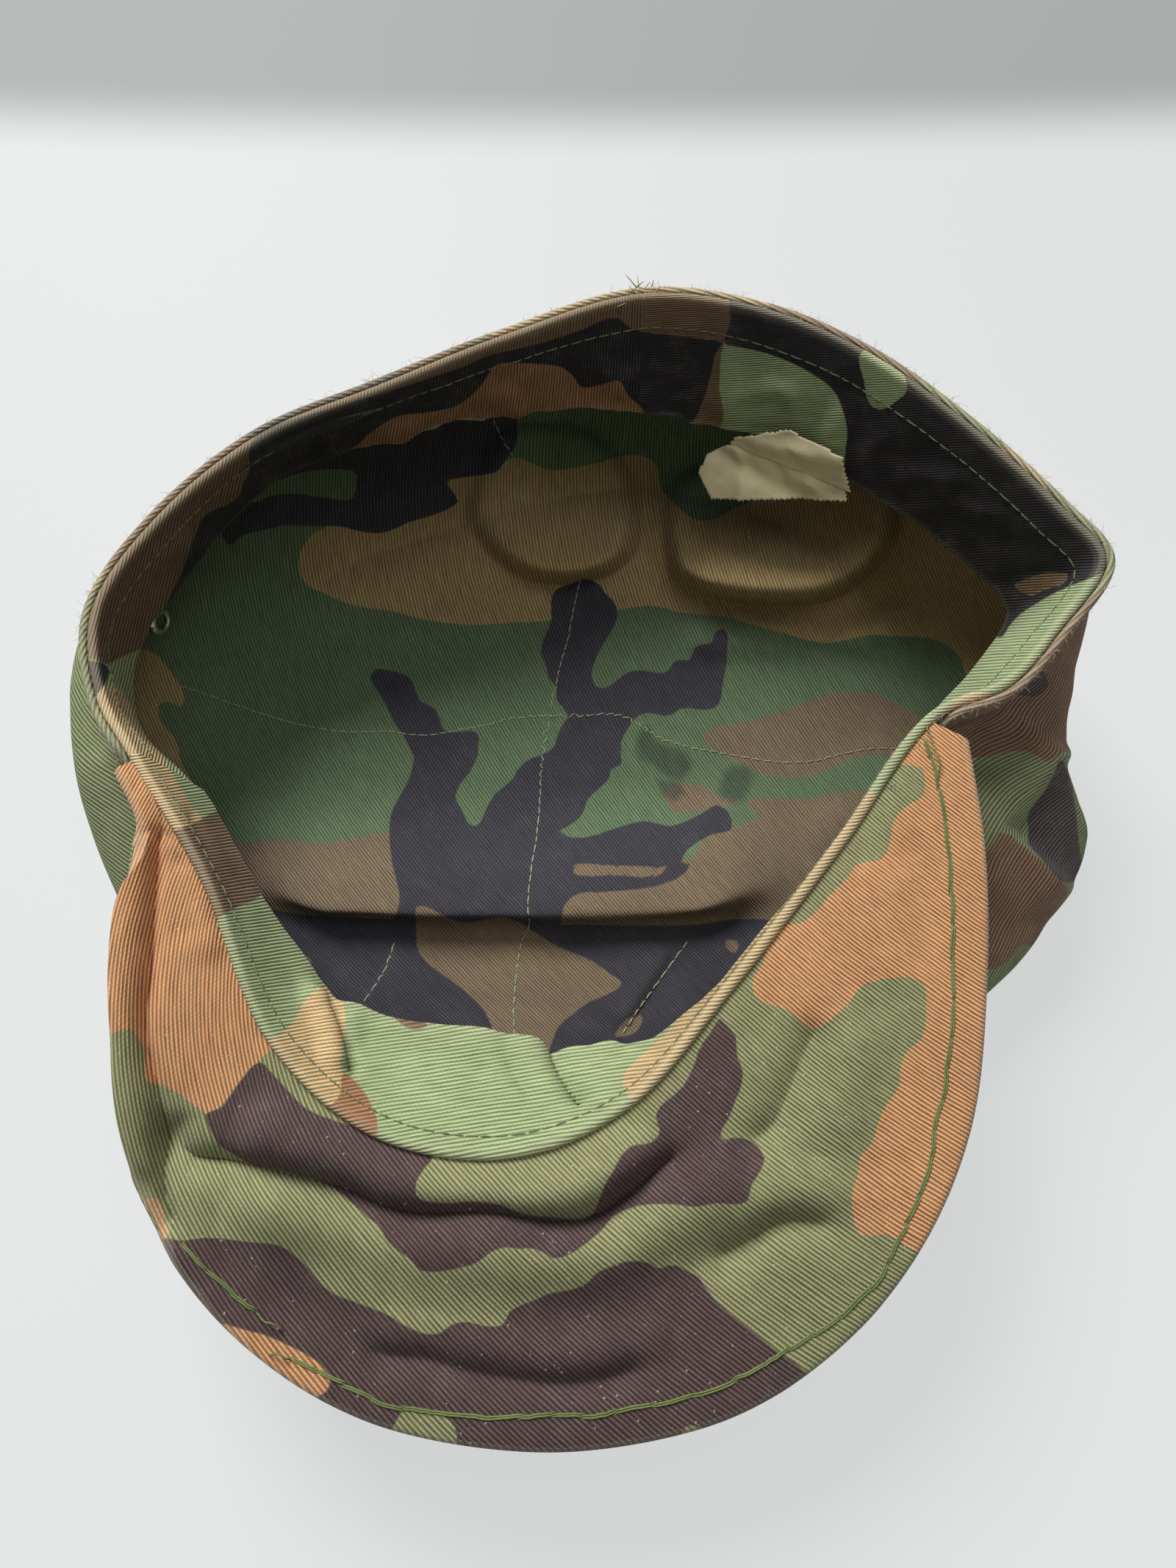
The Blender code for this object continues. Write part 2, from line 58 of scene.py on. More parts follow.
# ---- shape of the collapsed cap, as in the CAD -------------------------------------------
RIM = np.array([
    (70, -13, 63), (84.5, -7, 66), (95, 4, 68), (105.5, 19, 72), (98, 31, 73), (80, 51, 75),
    (60, 69, 76), (38, 80, 77), (12, 84, 77), (-19, 75, 74), (-46, 64, 71), (-72, 54, 67),
    (-93, 35, 63.5), (-104, 13, 62), (-101, -6, 60), (-92, -20, 60), (-76, -44, 57),
    (-61, -75, 50), (-40, -92, 46), (-14, -95.5, 45), (8, -86.5, 46.5), (28, -65, 49.5),
    (51, -37, 56),
], float)
BELLY = np.array([
    (103, -33, 27), (105, -17, 34), (104, -2, 44), (108, 20, 52), (104, 40, 48), (88, 64, 42),
    (66, 84, 40), (42, 95, 40), (13, 100, 40), (-21, 92, 40), (-52, 81, 40), (-81, 67, 42),
    (-104, 42, 44), (-114, 14, 46), (-112, -9, 44), (-106, -28, 38), (-94, -54, 30),
    (-75, -82, 25), (-47, -99, 24), (-15, -103, 24), (20, -98, 23), (54, -82, 22),
    (85, -60, 22),
], float)
BAND_EDGE = np.array([
    (70, -10, 35), (79, 2, 38), (88, 11, 40), (96, 24, 43), (88, 35, 45), (72, 50, 46),
    (54, 61, 47), (34, 71, 48), (12, 76, 49), (-18, 75.5, 48.5), (-43, 71.5, 47),
    (-74, 61, 42.5), (-96.5, 34, 37.5), (-104, 13, 37.5), (-100, -4, 36), (-86, -17, 34),
    (-71, -41, 33), (-51, -65, 30), (-32, -70, 29), (-11, -71, 29), (8, -73, 23), (26, -61, 22),
    (50, -35.5, 27),
], float)
VISOR_EDGE = np.array([
    (-95, -22, 60), (-88.5, -35, 59), (-91, -52, 57), (-89.5, -75, 53), (-85, -97, 47.5),
    (-75, -115, 42.5), (-59, -130, 38.5), (-39, -140, 36.5), (-14, -144.5, 35.5),
    (8, -143.5, 35.7), (29, -138, 36.6), (48, -126, 39.5), (62, -110, 44), (71.5, -90, 49.5),
    (75.5, -66, 55.5), (77, -40, 60.5), (75.5, -16, 63.5),
], float)
FLOOR = 1.35
CENTRE = np.array([-6.0, 15.0, FLOOR])
LEDGE_HEIGHT = 11.0                   # of the fold across the crown
EYE = np.array([0.0, -113.0, 277.0])  # the point that the flat pattern is seen from
COLUMNS = len(RIM)
LEFT_ROOT, RIGHT_ROOT, BACK_SEAM, FRONT_SEAM = 15.0, 23.0, 8.0, 19.0
SEAM_STEP = 2.6
LABEL_PIVOT = np.array([43.202, 64.251, 46.126])
LABEL_HINGE = np.array([0.894427, -0.447214, 0.0])
EYELETS = {
    "left_front": (13.6, 2.5),
    "left_back": (12.35, 2.5),
    "right_front": (2.0, 2.46),
    "right_back": (3.2, 2.5),
}

# how far the right wall's loose cloth hangs out in plan, every 0.4 columns from column -2
HANGING = np.array([
    (0, 0), (0.5, 1.5), (3, 3), (4, 1), (4.5, 0.5), (6, 0), (6.5, 0), (3.5, 0), (0.5, 0), (0, 0),
], float)

# ---- the print, with painted shade in the lining's black: outlines of each colour on the flat pattern ---
LINING_BLACK_AND_SHADE = [[
    (-57.3, 29.5), (-56, 31.5), (-52, 31), (-48, 29.8), (-46, 27.5), (-45, 24.5), (-43.5, 22),
    (-40, 20.3), (-38.5, 17), (-36.8, 13.5), (-33, 13.3), (-29, 13.6), (-28.3, 12.5),
    (-28.4, 6.7), (-30.4, 1.8), (-32.5, -1.4), (-33.5, -4.6), (-31.9, -7.8), (-29.9, -11.7),
    (-28.3, -12.6), (-26.9, -11.7), (-25.6, -7.8), (-23.5, -3.8), (-19.1, 0.2), (-17.7, 3.4),
    (-14, 6.2), (-10.5, 7.5), (-8.5, 10), (-7.3, 14), (-5, 18), (-6, 20), (-8.3, 22.5),
    (-8.2, 26), (-10.3, 29), (-11, 33), (-12.3, 36), (-12, 40), (-10.8, 43), (-9.8, 46),
    (-10, 50), (-9.8, 54), (-8, 56.5), (-5, 57.5), (-2, 59), (0.5, 59), (3, 57.5), (4.5, 55),
    (7, 52), (8, 49), (7, 44.5), (5, 41), (3, 37), (1.5, 33), (1, 29), (2, 26.5), (4, 25.7),
    (7, 27.5), (9, 29.5), (12, 31.2), (16, 31), (19, 30.2), (21, 30.8), (22.5, 33.5),
    (24, 34.5), (27, 34.3), (28.5, 38), (30, 39), (33, 39.3), (34, 43), (36, 44), (37.3, 42.5),
    (37, 38), (36.5, 33), (35.5, 28), (34.8, 23), (33.3, 20.5), (31, 19.7), (27, 20.2),
    (24, 20), (22, 18.5), (19.5, 18), (17, 18.8), (14, 18.7), (12, 17), (10.6, 14.9),
    (8.6, 10.8), (8.3, 6.7), (8.5, 4.3), (5.9, 3), (5.5, 0.6), (2.9, -2.2), (-0.1, -5.4),
    (-1.5, -9.4), (-4.5, -12.1), (-8, -14.5), (-7.4, -15.4), (-0.1, -15.2), (7.3, -12.9),
    (13.9, -11.1), (20.5, -12.5), (24.2, -11.3), (27.9, -9.4), (32.5, -6.8), (34.6, -7.8),
    (36, -11), (35.5, -13.6), (30.7, -14.8), (25.4, -17.9), (22.4, -21), (19.5, -22.9),
    (14.4, -23.0), (7.2, -22.7), (-3.7, -22.8), (-3.6, -24.8), (7.1, -25.4), (16.5, -25.5),
    (20.2, -23.6), (23.5, -21.5), (25.1, -21.6), (24.5, -24), (21.5, -26.3), (17.2, -27.9),
    (11.4, -28.9), (3.5, -29.5), (-2.9, -30.2), (-5.8, -33), (-6.5, -38), (-7, -42),
    (-46.5, -42), (-47, -38), (-45.9, -31.5), (-46.9, -27), (-48.4, -21.7), (-49.6, -14),
    (-49.5, -9.4), (-47.3, -3.8), (-45.3, 1), (-44.6, 6.7), (-45.5, 8.5), (-47.6, 12.5),
    (-50, 16), (-52.5, 21), (-55, 25),
], [
    (-99, 70), (-96, 73), (-90, 75), (-85, 76.3), (-80, 76.4), (-72, 76.4), (-68, 76),
    (-64, 74.6), (-58, 74), (-54, 75.2), (-50, 77.5), (-45, 79.3), (-40, 81.5), (-36.5, 84.5),
    (-38, 87.5), (-40.5, 91.5), (-36, 92.5), (-30, 93.5), (-26, 94.5), (-24.3, 97),
    (-22.7, 100), (-21, 102.5), (-20.5, 106), (-20.5, 112), (-21, 118), (-60, 116),
    (-95, 102), (-104, 85),
], [
    # painted shadow: this black blob in the left front corner stands for the shade below the fold's
    # lip, not for print
    (-90.5, -27), (-88.6, -25.2), (-85.8, -24), (-82.9, -26), (-81.2, -30.1), (-78, -33.8),
    (-73, -36), (-73, -50), (-95, -50),
], [
    # partly print, partly painted shade: black over the whole front below the fold's lip, for the black
    # print there and for the shadow under the fold
    (-100, -35.5), (-60, -36), (-20, -37.5), (20, -38), (48, -38), (62, -60), (30, -95),
    (-30, -100), (-90, -72),
], [
    (101.5, 69.5), (104, 65), (107, 62), (110, 60), (113.5, 57.5), (117, 56), (118.5, 53.5),
    (128, 60), (128, 72), (110, 71.5),
]]
LINING_NOT_BLACK = [[
    (-94, 84), (-90, 86), (-84, 87), (-78, 86.5), (-72, 85.5), (-66.5, 85), (-65.5, 90),
    (-66, 94.5), (-72, 95.3), (-78, 95), (-84, 93.5), (-90, 90.5), (-95, 88),
], [
    (-41.6, -33), (-41.6, -38), (-40.5, -44.7), (-36, -49), (-31, -52.5), (-26.7, -56),
    (-23, -60.9), (-22, -66), (-18, -78), (-12, -78), (-9, -68), (-6.9, -62.2), (-3.5, -59.5),
    (0, -56.7), (4.1, -55), (8.3, -52.2), (5.5, -50.1), (1.3, -46.8), (-2.9, -45),
    (-7.1, -43.2), (-12, -40), (-20, -36), (-30, -37.2),
], [
    (-73.5, -46), (-70, -45.2), (-66.2, -46), (-66.6, -48.8), (-69.5, -49.8),
], [
    (-29.5, -46.8), (-24, -46.9), (-18.3, -48.4), (-20, -49.9), (-28.3, -49.2),
], [(9.6, -60.2), (13, -59.5), (11.2, -63.6), (6.1, -64.6)], [
    (32.3, -41.8), (36.6, -41.8), (35, -45),
]]
LINING_BROWN = [[
    (-101, -24), (-92.4, -17.9), (-85.9, -17.1), (-75.1, -16), (-66.9, -17.1),
    (-58.3, -15.6), (-49.6, -14), (-42, -14), (-40, -100), (-104, -60),
], [
    (-9, -38), (-7, -33), (-2.9, -29.5), (3.5, -29), (11.4, -28), (17.2, -27), (24, -23),
    (30.7, -14), (35.5, -12.8), (41.1, -10.9), (43.4, -9.8), (40.9, -7.4), (39.9, -5.6),
    (44.4, -4.8), (55.5, -5.2), (60.8, -3.8), (66.8, -3), (72.4, -3), (82, -4), (92, -20),
    (60, -100), (-40, -100), (-45, -30),
], [
    (29.9, 12.9), (33, 14.8), (39.5, 15.8), (45.7, 17.6), (50.3, 19), (57.3, 22), (62, 24),
    (68, 25), (74, 24.6), (80, 22), (85, 18.5), (88, 15.5), (95, 12), (90, 5), (84, 5),
    (79.6, 6.3), (74.4, 7.1), (69.9, 6.3), (64.4, 4.7), (61.3, 3), (56.7, 1.3), (52.2, 0.6),
    (47.7, 0.9), (44, 1.8), (40.4, 3.9), (36.7, 5.9), (33.1, 8.4), (30.2, 10.4),
], [
    (19.5, -4), (21.5, -1.5), (25.3, -0.5), (29, -1.6), (32, -4), (36, -5.2), (39, -6.7),
    (33, -7.2), (29.5, -8), (25, -8.8), (22.1, -8.7), (20.3, -6.8),
], [
    (93, 77.5), (95.5, 74), (99, 71.5), (105, 70.5), (112, 71), (120, 73), (120, 82), (95, 82),
], [
    (-4, -22.5), (7.2, -22.4), (14.4, -22.7), (19.5, -22), (24, -20.5), (22, -25), (16.5, -26),
    (7.1, -25.9), (-4, -25.3),
], [(-101, -1), (-98, -2.5), (-95.5, -5), (-96, -9), (-100, -9)]]
LINING_TAN = [[
    (-79.5, 66), (-78.5, 70), (-76, 74), (-72, 76.3), (-66, 84), (-36, 95), (-26, 94.5),
    (-24.5, 97), (-23, 98.5), (-21, 99.5), (-19, 99), (-16, 97.5), (-12, 95.5), (-9, 95),
    (-5, 95.5), (-1, 96.5), (4, 98), (8, 99.5), (12, 100.3), (16, 100), (18.5, 98), (20, 94),
    (20.5, 90), (22, 86.5), (25, 83), (28, 79.5), (31, 78), (34, 78.3), (37, 79.5), (40, 82),
    (45, 84), (52, 90), (60, 100), (76, 96), (90, 90), (110, 82), (125, 60), (122, 45),
    (112, 35), (104, 28), (100, 25.5), (99.5, 28), (99.3, 31), (98.8, 34), (97, 37.3),
    (94, 39.8), (90, 41), (82, 41.5), (75, 41.8), (70, 40.7), (64, 39.5), (58, 40.5),
    (52, 42.5), (45, 44.8), (38, 47), (30, 48.2), (24, 49), (20, 50.2), (17, 50.8),
    (14, 50.5), (11, 50), (8, 49.5), (0, 48), (-10, 46.3), (-20, 45.7), (-30, 45),
    (-40, 45.8), (-46, 47), (-52, 49), (-60, 50.3), (-66, 52), (-71, 54.5), (-76, 57), (-79, 61),
], [
    (-126, 38), (-118, 37.5), (-114, 35.5), (-111, 32), (-107.5, 27.5), (-105.7, 24.5),
    (-105.8, 20.3), (-108, 21.3), (-110.2, 22.3), (-112, 21), (-111.5, 18.5), (-109.5, 15),
    (-106, 11), (-104, 5), (-101, -2), (-118, 0), (-128, 20),
], [(-73.5, -46), (-70, -45.2), (-66.2, -46), (-66.6, -48.8), (-69.5, -49.8)],
   [(-29.5, -46.8), (-24, -46.9), (-18.3, -48.4), (-20, -49.9), (-28.3, -49.2)]]
STAIN = [[
    (12.5, 12), (13, 7), (16, 4.5), (20, 1), (24, 0.5), (26.5, 4), (24.5, 8), (20.5, 9.5),
    (17, 11.5), (16, 15), (14, 14),
], [(18, 0), (24, -2), (22, -5.5), (19, -4)],
   [(33.5, -2), (36, 3), (41.5, 3.5), (42, 0), (38, -6), (34, -5)]]

BAND_BROWN = [[
    (-150, 34.5), (-131, 34.5), (-127.5, 33), (-124, 35), (-118, 38), (-100, 40), (-20, 60),
    (38, 110), (38.5, 125), (40.5, 141), (44, 149), (44, 175), (-60, 160), (-150, 90),
], [
    (-103.9, -14), (-100, -12.5), (-96.4, -10.2), (-90, -8), (-80, -30), (-86.2, -33.7),
    (-88, -35), (-90.1, -36.7), (-98, -45), (-108, -25),
], [(116, 57), (121, 59.8), (127, 61.3), (131, 60.5), (129, 57.5), (124, 56), (120, 54)], [
    (-45.9, -59.2), (-42.4, -58.8), (-38.9, -60.5), (-37.3, -62), (-41.5, -63),
], [(105, 20), (110, 17), (113, 19), (116, 22), (111, 24.5)]]
BAND_TAN = [[
    (-140, 27), (-129, 25.5), (-125, 27), (-118, 20), (-112, 12), (-106, 2), (-99, -8),
    (-96.4, -10.2), (-103.9, -14), (-115, -12), (-135, 5),
], [
    (-75, -66), (-73.6, -65), (-69.8, -62.3), (-66, -55), (-60, -52), (-57, -60), (-57, -67),
    (-57.3, -71), (-56, -75), (-57, -79), (-59.1, -82.3), (-65, -84), (-80, -72),
], [
    (8, -75), (19, -63), (27, -54), (34, -45), (41, -36), (49, -26.5), (57, -17.5), (65, -8),
    (71, -3), (78, -10), (68, -22), (55, -36), (44, -50), (30, -66), (16, -82),
], [(88, 12), (94, 20), (99, 24.3), (104, 24.5), (108, 23.5), (112, 25), (116, 22), (104, 8), (94, 4)]]
BAND_RUST = [[
    (-56.5, -73), (-50.7, -78.3), (-47.8, -85.5), (-52, -92), (-62, -90), (-60.6, -81.7),
    (-57, -78.5),
], [(-85, 60), (-40, 110), (-20, 113.8), (0, 116.5), (16, 116), (16, 122), (10, 127),
    (4, 125.5), (-2, 124.5), (-4, 128), (-8, 132), (-14, 133), (-20, 133.5), (-27, 133),
    (-30, 128), (-33, 123), (-38, 118), (-46, 115.5), (-55, 114.5), (-75, 104)]]
BAND_BLACK = [[
    (-113.5, 48), (-113.3, 54), (-112, 58), (-110.5, 64), (-109.5, 70), (-108.5, 75),
    (-107.3, 79.5), (-104, 82), (-100, 84), (-97.8, 87), (-97.3, 91), (-96, 95), (-97, 100),
    (-96.5, 105), (-94, 108.5), (-90, 111), (-84, 113.5), (-76, 116.5), (-68, 119.5),
    (-60, 122.5), (-52, 125.5), (-44, 129), (-36, 132.5), (-30, 136), (-20, 139), (-10, 142.5),
    (0, 147), (5, 150), (9, 150.5), (13, 146.5), (18, 145), (26, 143.8), (34, 142.5),
    (39.8, 141.3), (38, 137), (36, 128), (33, 118), (30, 112), (18, 113), (15, 118), (12, 121),
    (9, 127), (4, 125.5), (-2, 124.5), (-4, 128), (-8, 132), (-14, 133), (-20, 133.5),
    (-27, 133), (-30, 128), (-33, 123), (-38, 118), (-46, 115.5), (-55, 114), (-62, 109),
    (-66, 104), (-80, 90), (-90, 75), (-104, 48),
], [
    (-140, 36), (-134, 34.5), (-131, 34), (-127.5, 33), (-126, 30.5), (-127.5, 26),
    (-129.5, 21.5), (-131, 18), (-142, 25),
], [
    (41, 141), (45, 139.5), (52, 137.5), (58, 134.8), (64, 131), (70, 126), (73, 121),
    (74.3, 115), (74.8, 110), (73.5, 100), (72, 85), (85, 65), (100, 55), (110, 41),
    (112.5, 44), (116, 48), (121, 51.5), (127, 55), (133, 57.8), (140, 61), (150, 70),
    (130, 112), (110, 135), (90, 150), (60, 162), (44, 160), (43, 149),
]]
BAND_NOT_BLACK = [[
    (80.5, 136), (84, 139), (88, 137), (92, 132), (93.5, 128), (93.5, 123), (90, 119.5),
    (86, 116.5), (83, 117), (81.5, 120), (81.2, 127),
], [(116, 57), (121, 59.8), (127, 61.3), (131, 60.5), (129, 57.5), (124, 56), (120, 54)]]

VISOR_ORANGE = [[
    (92, 24), (90, 20), (84, 12), (79.8, 4.7), (84.9, 3.4), (85.6, -0.6), (84.4, -4.6),
    (79.7, -7.4), (76.3, -11.7), (75.1, -16.4), (72.9, -21), (66.6, -22.5), (64.1, -25.5),
    (59.4, -30.1), (55.5, -34.5), (51.8, -37.4), (46.7, -38.2), (43.7, -41.8), (42, -46.8),
    (39.6, -50.4), (39.3, -55), (41.4, -56.7), (46.2, -58.1), (49.5, -60.5), (52.7, -62.9),
    (56.3, -61.2), (61.1, -57.1), (65.3, -52.5), (70.3, -51.1), (76.6, -50.8), (79.6, -52.2),
    (79.6, -58.8), (77.9, -65), (74.5, -67.7), (72.5, -71.1), (71.3, -76.4), (67.9, -80.3),
    (65.7, -84.7), (63.7, -89.2), (61.2, -91.4), (60.4, -95.8), (58.7, -98.7), (59.8, -107.6),
    (66.5, -107.9), (69.3, -110.1), (74.8, -111.5), (92, -108), (104, -60), (106, 0), (104, 26),
], [
    (-114, -63.5), (-106.8, -63), (-104.4, -65.7), (-103.1, -67), (-102.2, -73),
    (-101.7, -74.7), (-97.4, -76), (-93.1, -78), (-88.7, -81), (-86.2, -82), (-83.5, -79.7),
    (-80.6, -75.7), (-76.1, -70.4), (-70, -60), (-80, -20), (-105, 12), (-130, 10), (-126, -40),
], [
    (-106, -99), (-101, -100.5), (-95.2, -100.6), (-93.6, -104.7), (-92, -108.4),
    (-94.6, -110.7), (-99, -113), (-108, -106),
], [
    (-93, -124), (-87.5, -123.2), (-83.6, -123.8), (-81.3, -125.1), (-77, -125.8),
    (-73.4, -126.7), (-68.4, -128), (-64, -129.6), (-59.7, -131.5), (-56, -134),
    (-54, -136.5), (-54.9, -138.6), (-58.8, -140.5), (-62.2, -141.4), (-66, -145), (-80, -140),
]]
VISOR_BROWN = [[
    (-76.1, -70.4), (-72, -74), (-64.2, -81), (-59.5, -83), (-54.9, -84.5), (-48.1, -86),
    (-40.6, -88), (-34.6, -91), (-36.7, -94), (-38.4, -97.1), (-38.2, -99.9), (-35.6, -101),
    (-30.5, -101.3), (-24.7, -101), (-19.6, -101.6), (-15.2, -103.3), (-7.2, -104.3),
    (-0.8, -104.8), (1.1, -103.7), (2.3, -100.9), (3.8, -97.2), (5.8, -94.3), (7.3, -91.4),
    (9.7, -89.2), (14.3, -88.4), (16.3, -85.8), (15.5, -83), (16.3, -80.7), (19.4, -78.3),
    (22.2, -75.7), (24.3, -71.7), (25.8, -67.7), (28.7, -63.6), (30.9, -60.5), (32.5, -62.2),
    (34.5, -64.6), (34.5, -69), (35.7, -72.4), (35.3, -75.7), (33.8, -79), (31.8, -83.3),
    (29.9, -86.2), (30.1, -88.4), (32.9, -87.3), (36.7, -88.1), (39.6, -91.4), (38.7, -94.3),
    (36.3, -97.6), (35.3, -100.9), (32.2, -101.6), (28.5, -101.2), (23.9, -102.1),
    (20.1, -101.6), (12.9, -101.6), (9.5, -102.3), (5.7, -104), (2.6, -107.2), (-1.1, -110.1),
    (-4.9, -112.2), (-7.1, -112.7), (-11.4, -110.7), (-15, -110.7), (-18.6, -110.4),
    (-21.4, -111.4), (-24.2, -113.4), (-28.4, -114.7), (-32.7, -115.4), (-36.6, -115),
    (-39.3, -112.4), (-42.2, -110.7), (-44.5, -108.4), (-46.1, -106), (-48.4, -104.3),
    (-52.3, -101.3), (-58.5, -97.1), (-64.5, -95.4), (-69, -94.3), (-74.9, -93.3),
    (-78, -91.9), (-80.4, -90.5), (-83.6, -88.7), (-85.4, -85.8), (-87.3, -82.2),
    (-83.8, -80.8), (-80.6, -75.7),
], [
    (-97, -112), (-94.9, -110.7), (-93.4, -108.7), (-89, -109.1), (-83.4, -108.4),
    (-73.9, -109.4), (-67.4, -110.1), (-65.1, -111.4), (-61.2, -114.4), (-58.9, -116.7),
    (-55.8, -119.3), (-50.7, -121.3), (-46.4, -122.6), (-42.1, -124.2), (-39.1, -126.1),
    (-35.6, -127.4), (-31.4, -127.4), (-29.4, -125.8), (-25.9, -125.3), (-22.4, -126.1),
    (-18.1, -125.8), (-16.8, -123.2), (-14, -121.9), (-11.2, -121), (-8.4, -119.7),
    (-3.3, -118.8), (-0.4, -117.7), (1.9, -115.6), (6.3, -113.9), (9.3, -113.2),
    (13.1, -113.5), (15.3, -114.9), (18.3, -113.9), (21.2, -114.9), (24.1, -116.7),
    (26.2, -119.8), (29.8, -123.1), (33.3, -125.8), (36.9, -128.5), (40.3, -131.1),
    (43.8, -133.1), (45.9, -135), (48.3, -136.3), (46, -148), (0, -160), (-60, -156),
    (-100, -128),
]]
VISOR_NOT_BROWN = [[
    (-38.8, -142.3), (-34.7, -141.7), (-29.9, -143.2), (-27.8, -145), (-26.9, -149),
    (-27, -156), (-44, -154), (-43, -148), (-40.7, -145.6),
], [(20.3, -145), (24.5, -145.6), (28.8, -145.3), (31, -154), (19, -156)], [
    (-87.5, -123.2), (-83.6, -123.8), (-81.3, -125.1), (-77, -125.8), (-73.4, -126.7),
    (-68.4, -128), (-64, -129.6), (-59.7, -131.5), (-56, -134), (-54, -136.5), (-54.9, -138.6),
    (-58.8, -140.5), (-62.2, -141.4), (-64, -150), (-96, -134),
]]

OUTSIDE_SEEN = [[
    (88, 30), (118, 24), (126, 40), (131, 47), (138, 50), (140, 30), (132, 5), (130, -20),
    (120, -45), (104, -60), (86, -60),
], [(-150, 70), (-128, 60), (-110, 10), (-98, -30), (-112, -40), (-135, -20), (-160, 20)]]
OUTSIDE_BROWN = [[
    (88, 28), (90, 5), (98, 6), (102, 6.5), (106, 7.5), (110, 8), (114, 7.5), (117, 5),
    (121, 7.3), (132, 12), (142, 30), (142, 56), (126, 44), (110, 30),
], [
    (88, -22), (97, -21.5), (99.5, -18), (103.5, -13.3), (107, -17), (111.5, -21), (117, -27.5),
    (115, -36), (108, -43.5), (104.5, -42.5), (102, -45), (99, -47.5), (96, -48.8), (86, -48),
]]
OUTSIDE_BLACK = [[
    (121, 6), (118.5, 1.5), (115.5, -3), (112.5, -6.5), (110.3, -9.5), (110, -13),
    (109.5, -17.5), (112, -20.7), (116.5, -27), (121, -26), (122, -18), (122.4, -10),
    (122.6, -3), (122, 3),
]]
OUTSIDE_TAN = [[
    (95, 8), (101, 12), (106, 17), (111, 22), (116, 26), (122, 35), (130, 45), (140, 56),
    (146, 70), (139, 90), (126, 104), (112, 120), (92, 134), (72, 146), (60, 152), (44, 158),
    (30, 161), (10, 158), (0, 154), (0, 176), (60, 180), (150, 140), (165, 70), (150, 50),
    (131, 41), (122, 31), (112, 20), (104, 12), (96, 2),
], [(-118, 92), (-108, 104), (-96, 113), (-80, 121), (-62, 129), (-70, 140), (-130, 120),
    (-142, 70), (-137, 52), (-128, 72)]]

# ---- folds: (lift, width across, points), lift in mm towards the viewer ------------------
LINING_FOLDS = [
    (4.0, 6, [(20, 42), (34, 41), (48, 40), (62, 40.5), (76, 43), (88, 48)]),
    (3.0, 8, [(-60, 46), (-40, 44), (-20, 44), (0, 46), (16, 47)]),
    (3.0, 6, [(26, 66), (32, 61), (42, 58), (54, 57.5), (64, 60), (72, 66)]),
    (-2.6, 5, [(38, 78), (44, 70), (46, 66)]),
    (-2.4, 5, [(62, 78), (66, 70), (70, 66)]),
    (-1.5, 4, [(20.5, 98), (20, 88), (19.5, 78), (19.5, 68), (21, 60), (27, 53.5), (34, 50.5),
                 (44, 48.5), (56, 47.5), (68, 48.8), (78, 52), (88, 56)]),
    (-1.6, 6, [(-8, 56), (6, 57), (16, 60)]),
    (-2.0, 4, [(-8, 98), (-6, 86), (-9, 76)]),
    (-1.6, 4, [(2, 96), (3, 84), (0, 72)]),
    (-2.0, 9, [(-40, 88), (-50, 94), (-65, 96), (-80, 92)]),
    (2.0, 8, [(-70, 62), (-50, 58), (-40, 58)]),
    (-1.6, 5, [(-44, 70), (-40, 82), (-34, 92)]),
    (-1.4, 3, [(56, 42), (64, 37.5), (72, 33), (80, 30), (88, 27)]),
    (1.0, 6, [(60, 30), (72, 27), (84, 24)]),
    (-2.4, 4, [(60, 4), (66, 3), (70, 0), (73, -3), (77, -4)]),
    (1.4, 5, [(68, -6), (60, -12), (52, -20)]),
    (-1.0, 5, [(37, -5), (44, -10), (52, -15), (60, -17)]),
    (0.8, 7, [(20, 8), (32, 12), (46, 10)]),
    (-0.8, 6, [(-98, 6), (-88, 4), (-78, 2), (-68, -4)]),
    (0.9, 6, [(-96, -10), (-84, -12), (-70, -12)]),
    (1.2, 4, [(44, 78), (45.5, 72)]),
    (-0.8, 9, [(-90, 40), (-70, 30), (-50, 38)]),
    (0.7, 7, [(-80, 20), (-64, 10), (-56, -4)]),
    (-0.6, 6, [(6, 10), (8, 24), (14, 40)]),
    (0.6, 8, [(50, 30), (40, 24), (28, 24)]),
]
# puffed places: (lift, width of the slope, outline)
LINING_PADS = [
    (21.0, 6, [(22, 84), (21.5, 70), (23, 62), (30, 56), (39, 53), (51, 52), (63, 53), (73, 58),
                (80, 65), (86, 75), (86, 90), (71, 96), (45, 96), (30, 96)]),
    (17.0, 7, [(-32, 93), (-34, 81), (-27, 68), (-17, 60), (-5, 58), (6, 61), (13, 69), (14, 84),
               (11, 98), (-1, 110), (-24, 110)]),
]
# an overlap lifts the cloth to the left of its line, which drops sharply to the right of it
LINING_LAPS = [
    (1.5, 9, [(-20, 75), (-15.5, 84), (-12, 94), (-8, 104), (-3, 114)]),
    (1.1, 7, [(44.2, 70), (43.6, 77), (43.4, 85)]),
    (1.5, 10, [(7, -64), (14, -54), (21, -43)]),
    (1.0, 8, [(33, -48), (32, -41)]),
    (0.9, 8, [(-46.5, -42), (-49, -50), (-53, -57)]),
]
OUTSIDE_LAPS = [
    (3.6, 12, [(94, -23), (100, -16.5), (107, -9), (113, -2.5), (118, 3), (124, 8.5)]),
    (3.0, 13, [(120, -29), (111.5, -20.8), (103.5, -13.2), (97, -21), (90, -27)]),
]
OUTSIDE_FOLDS = [
    (-1.6, 5, [(96, 9), (103, 13), (110, 20), (118, 28)]),
    (1.2, 7, [(118, 18), (122, 26), (127, 34)]),
    (-1.0, 4, [(106, -32), (110, -40)]),
    (-1.2, 5, [(-127, 60), (-133, 40), (-130, 20), (-124, 4)]),
]
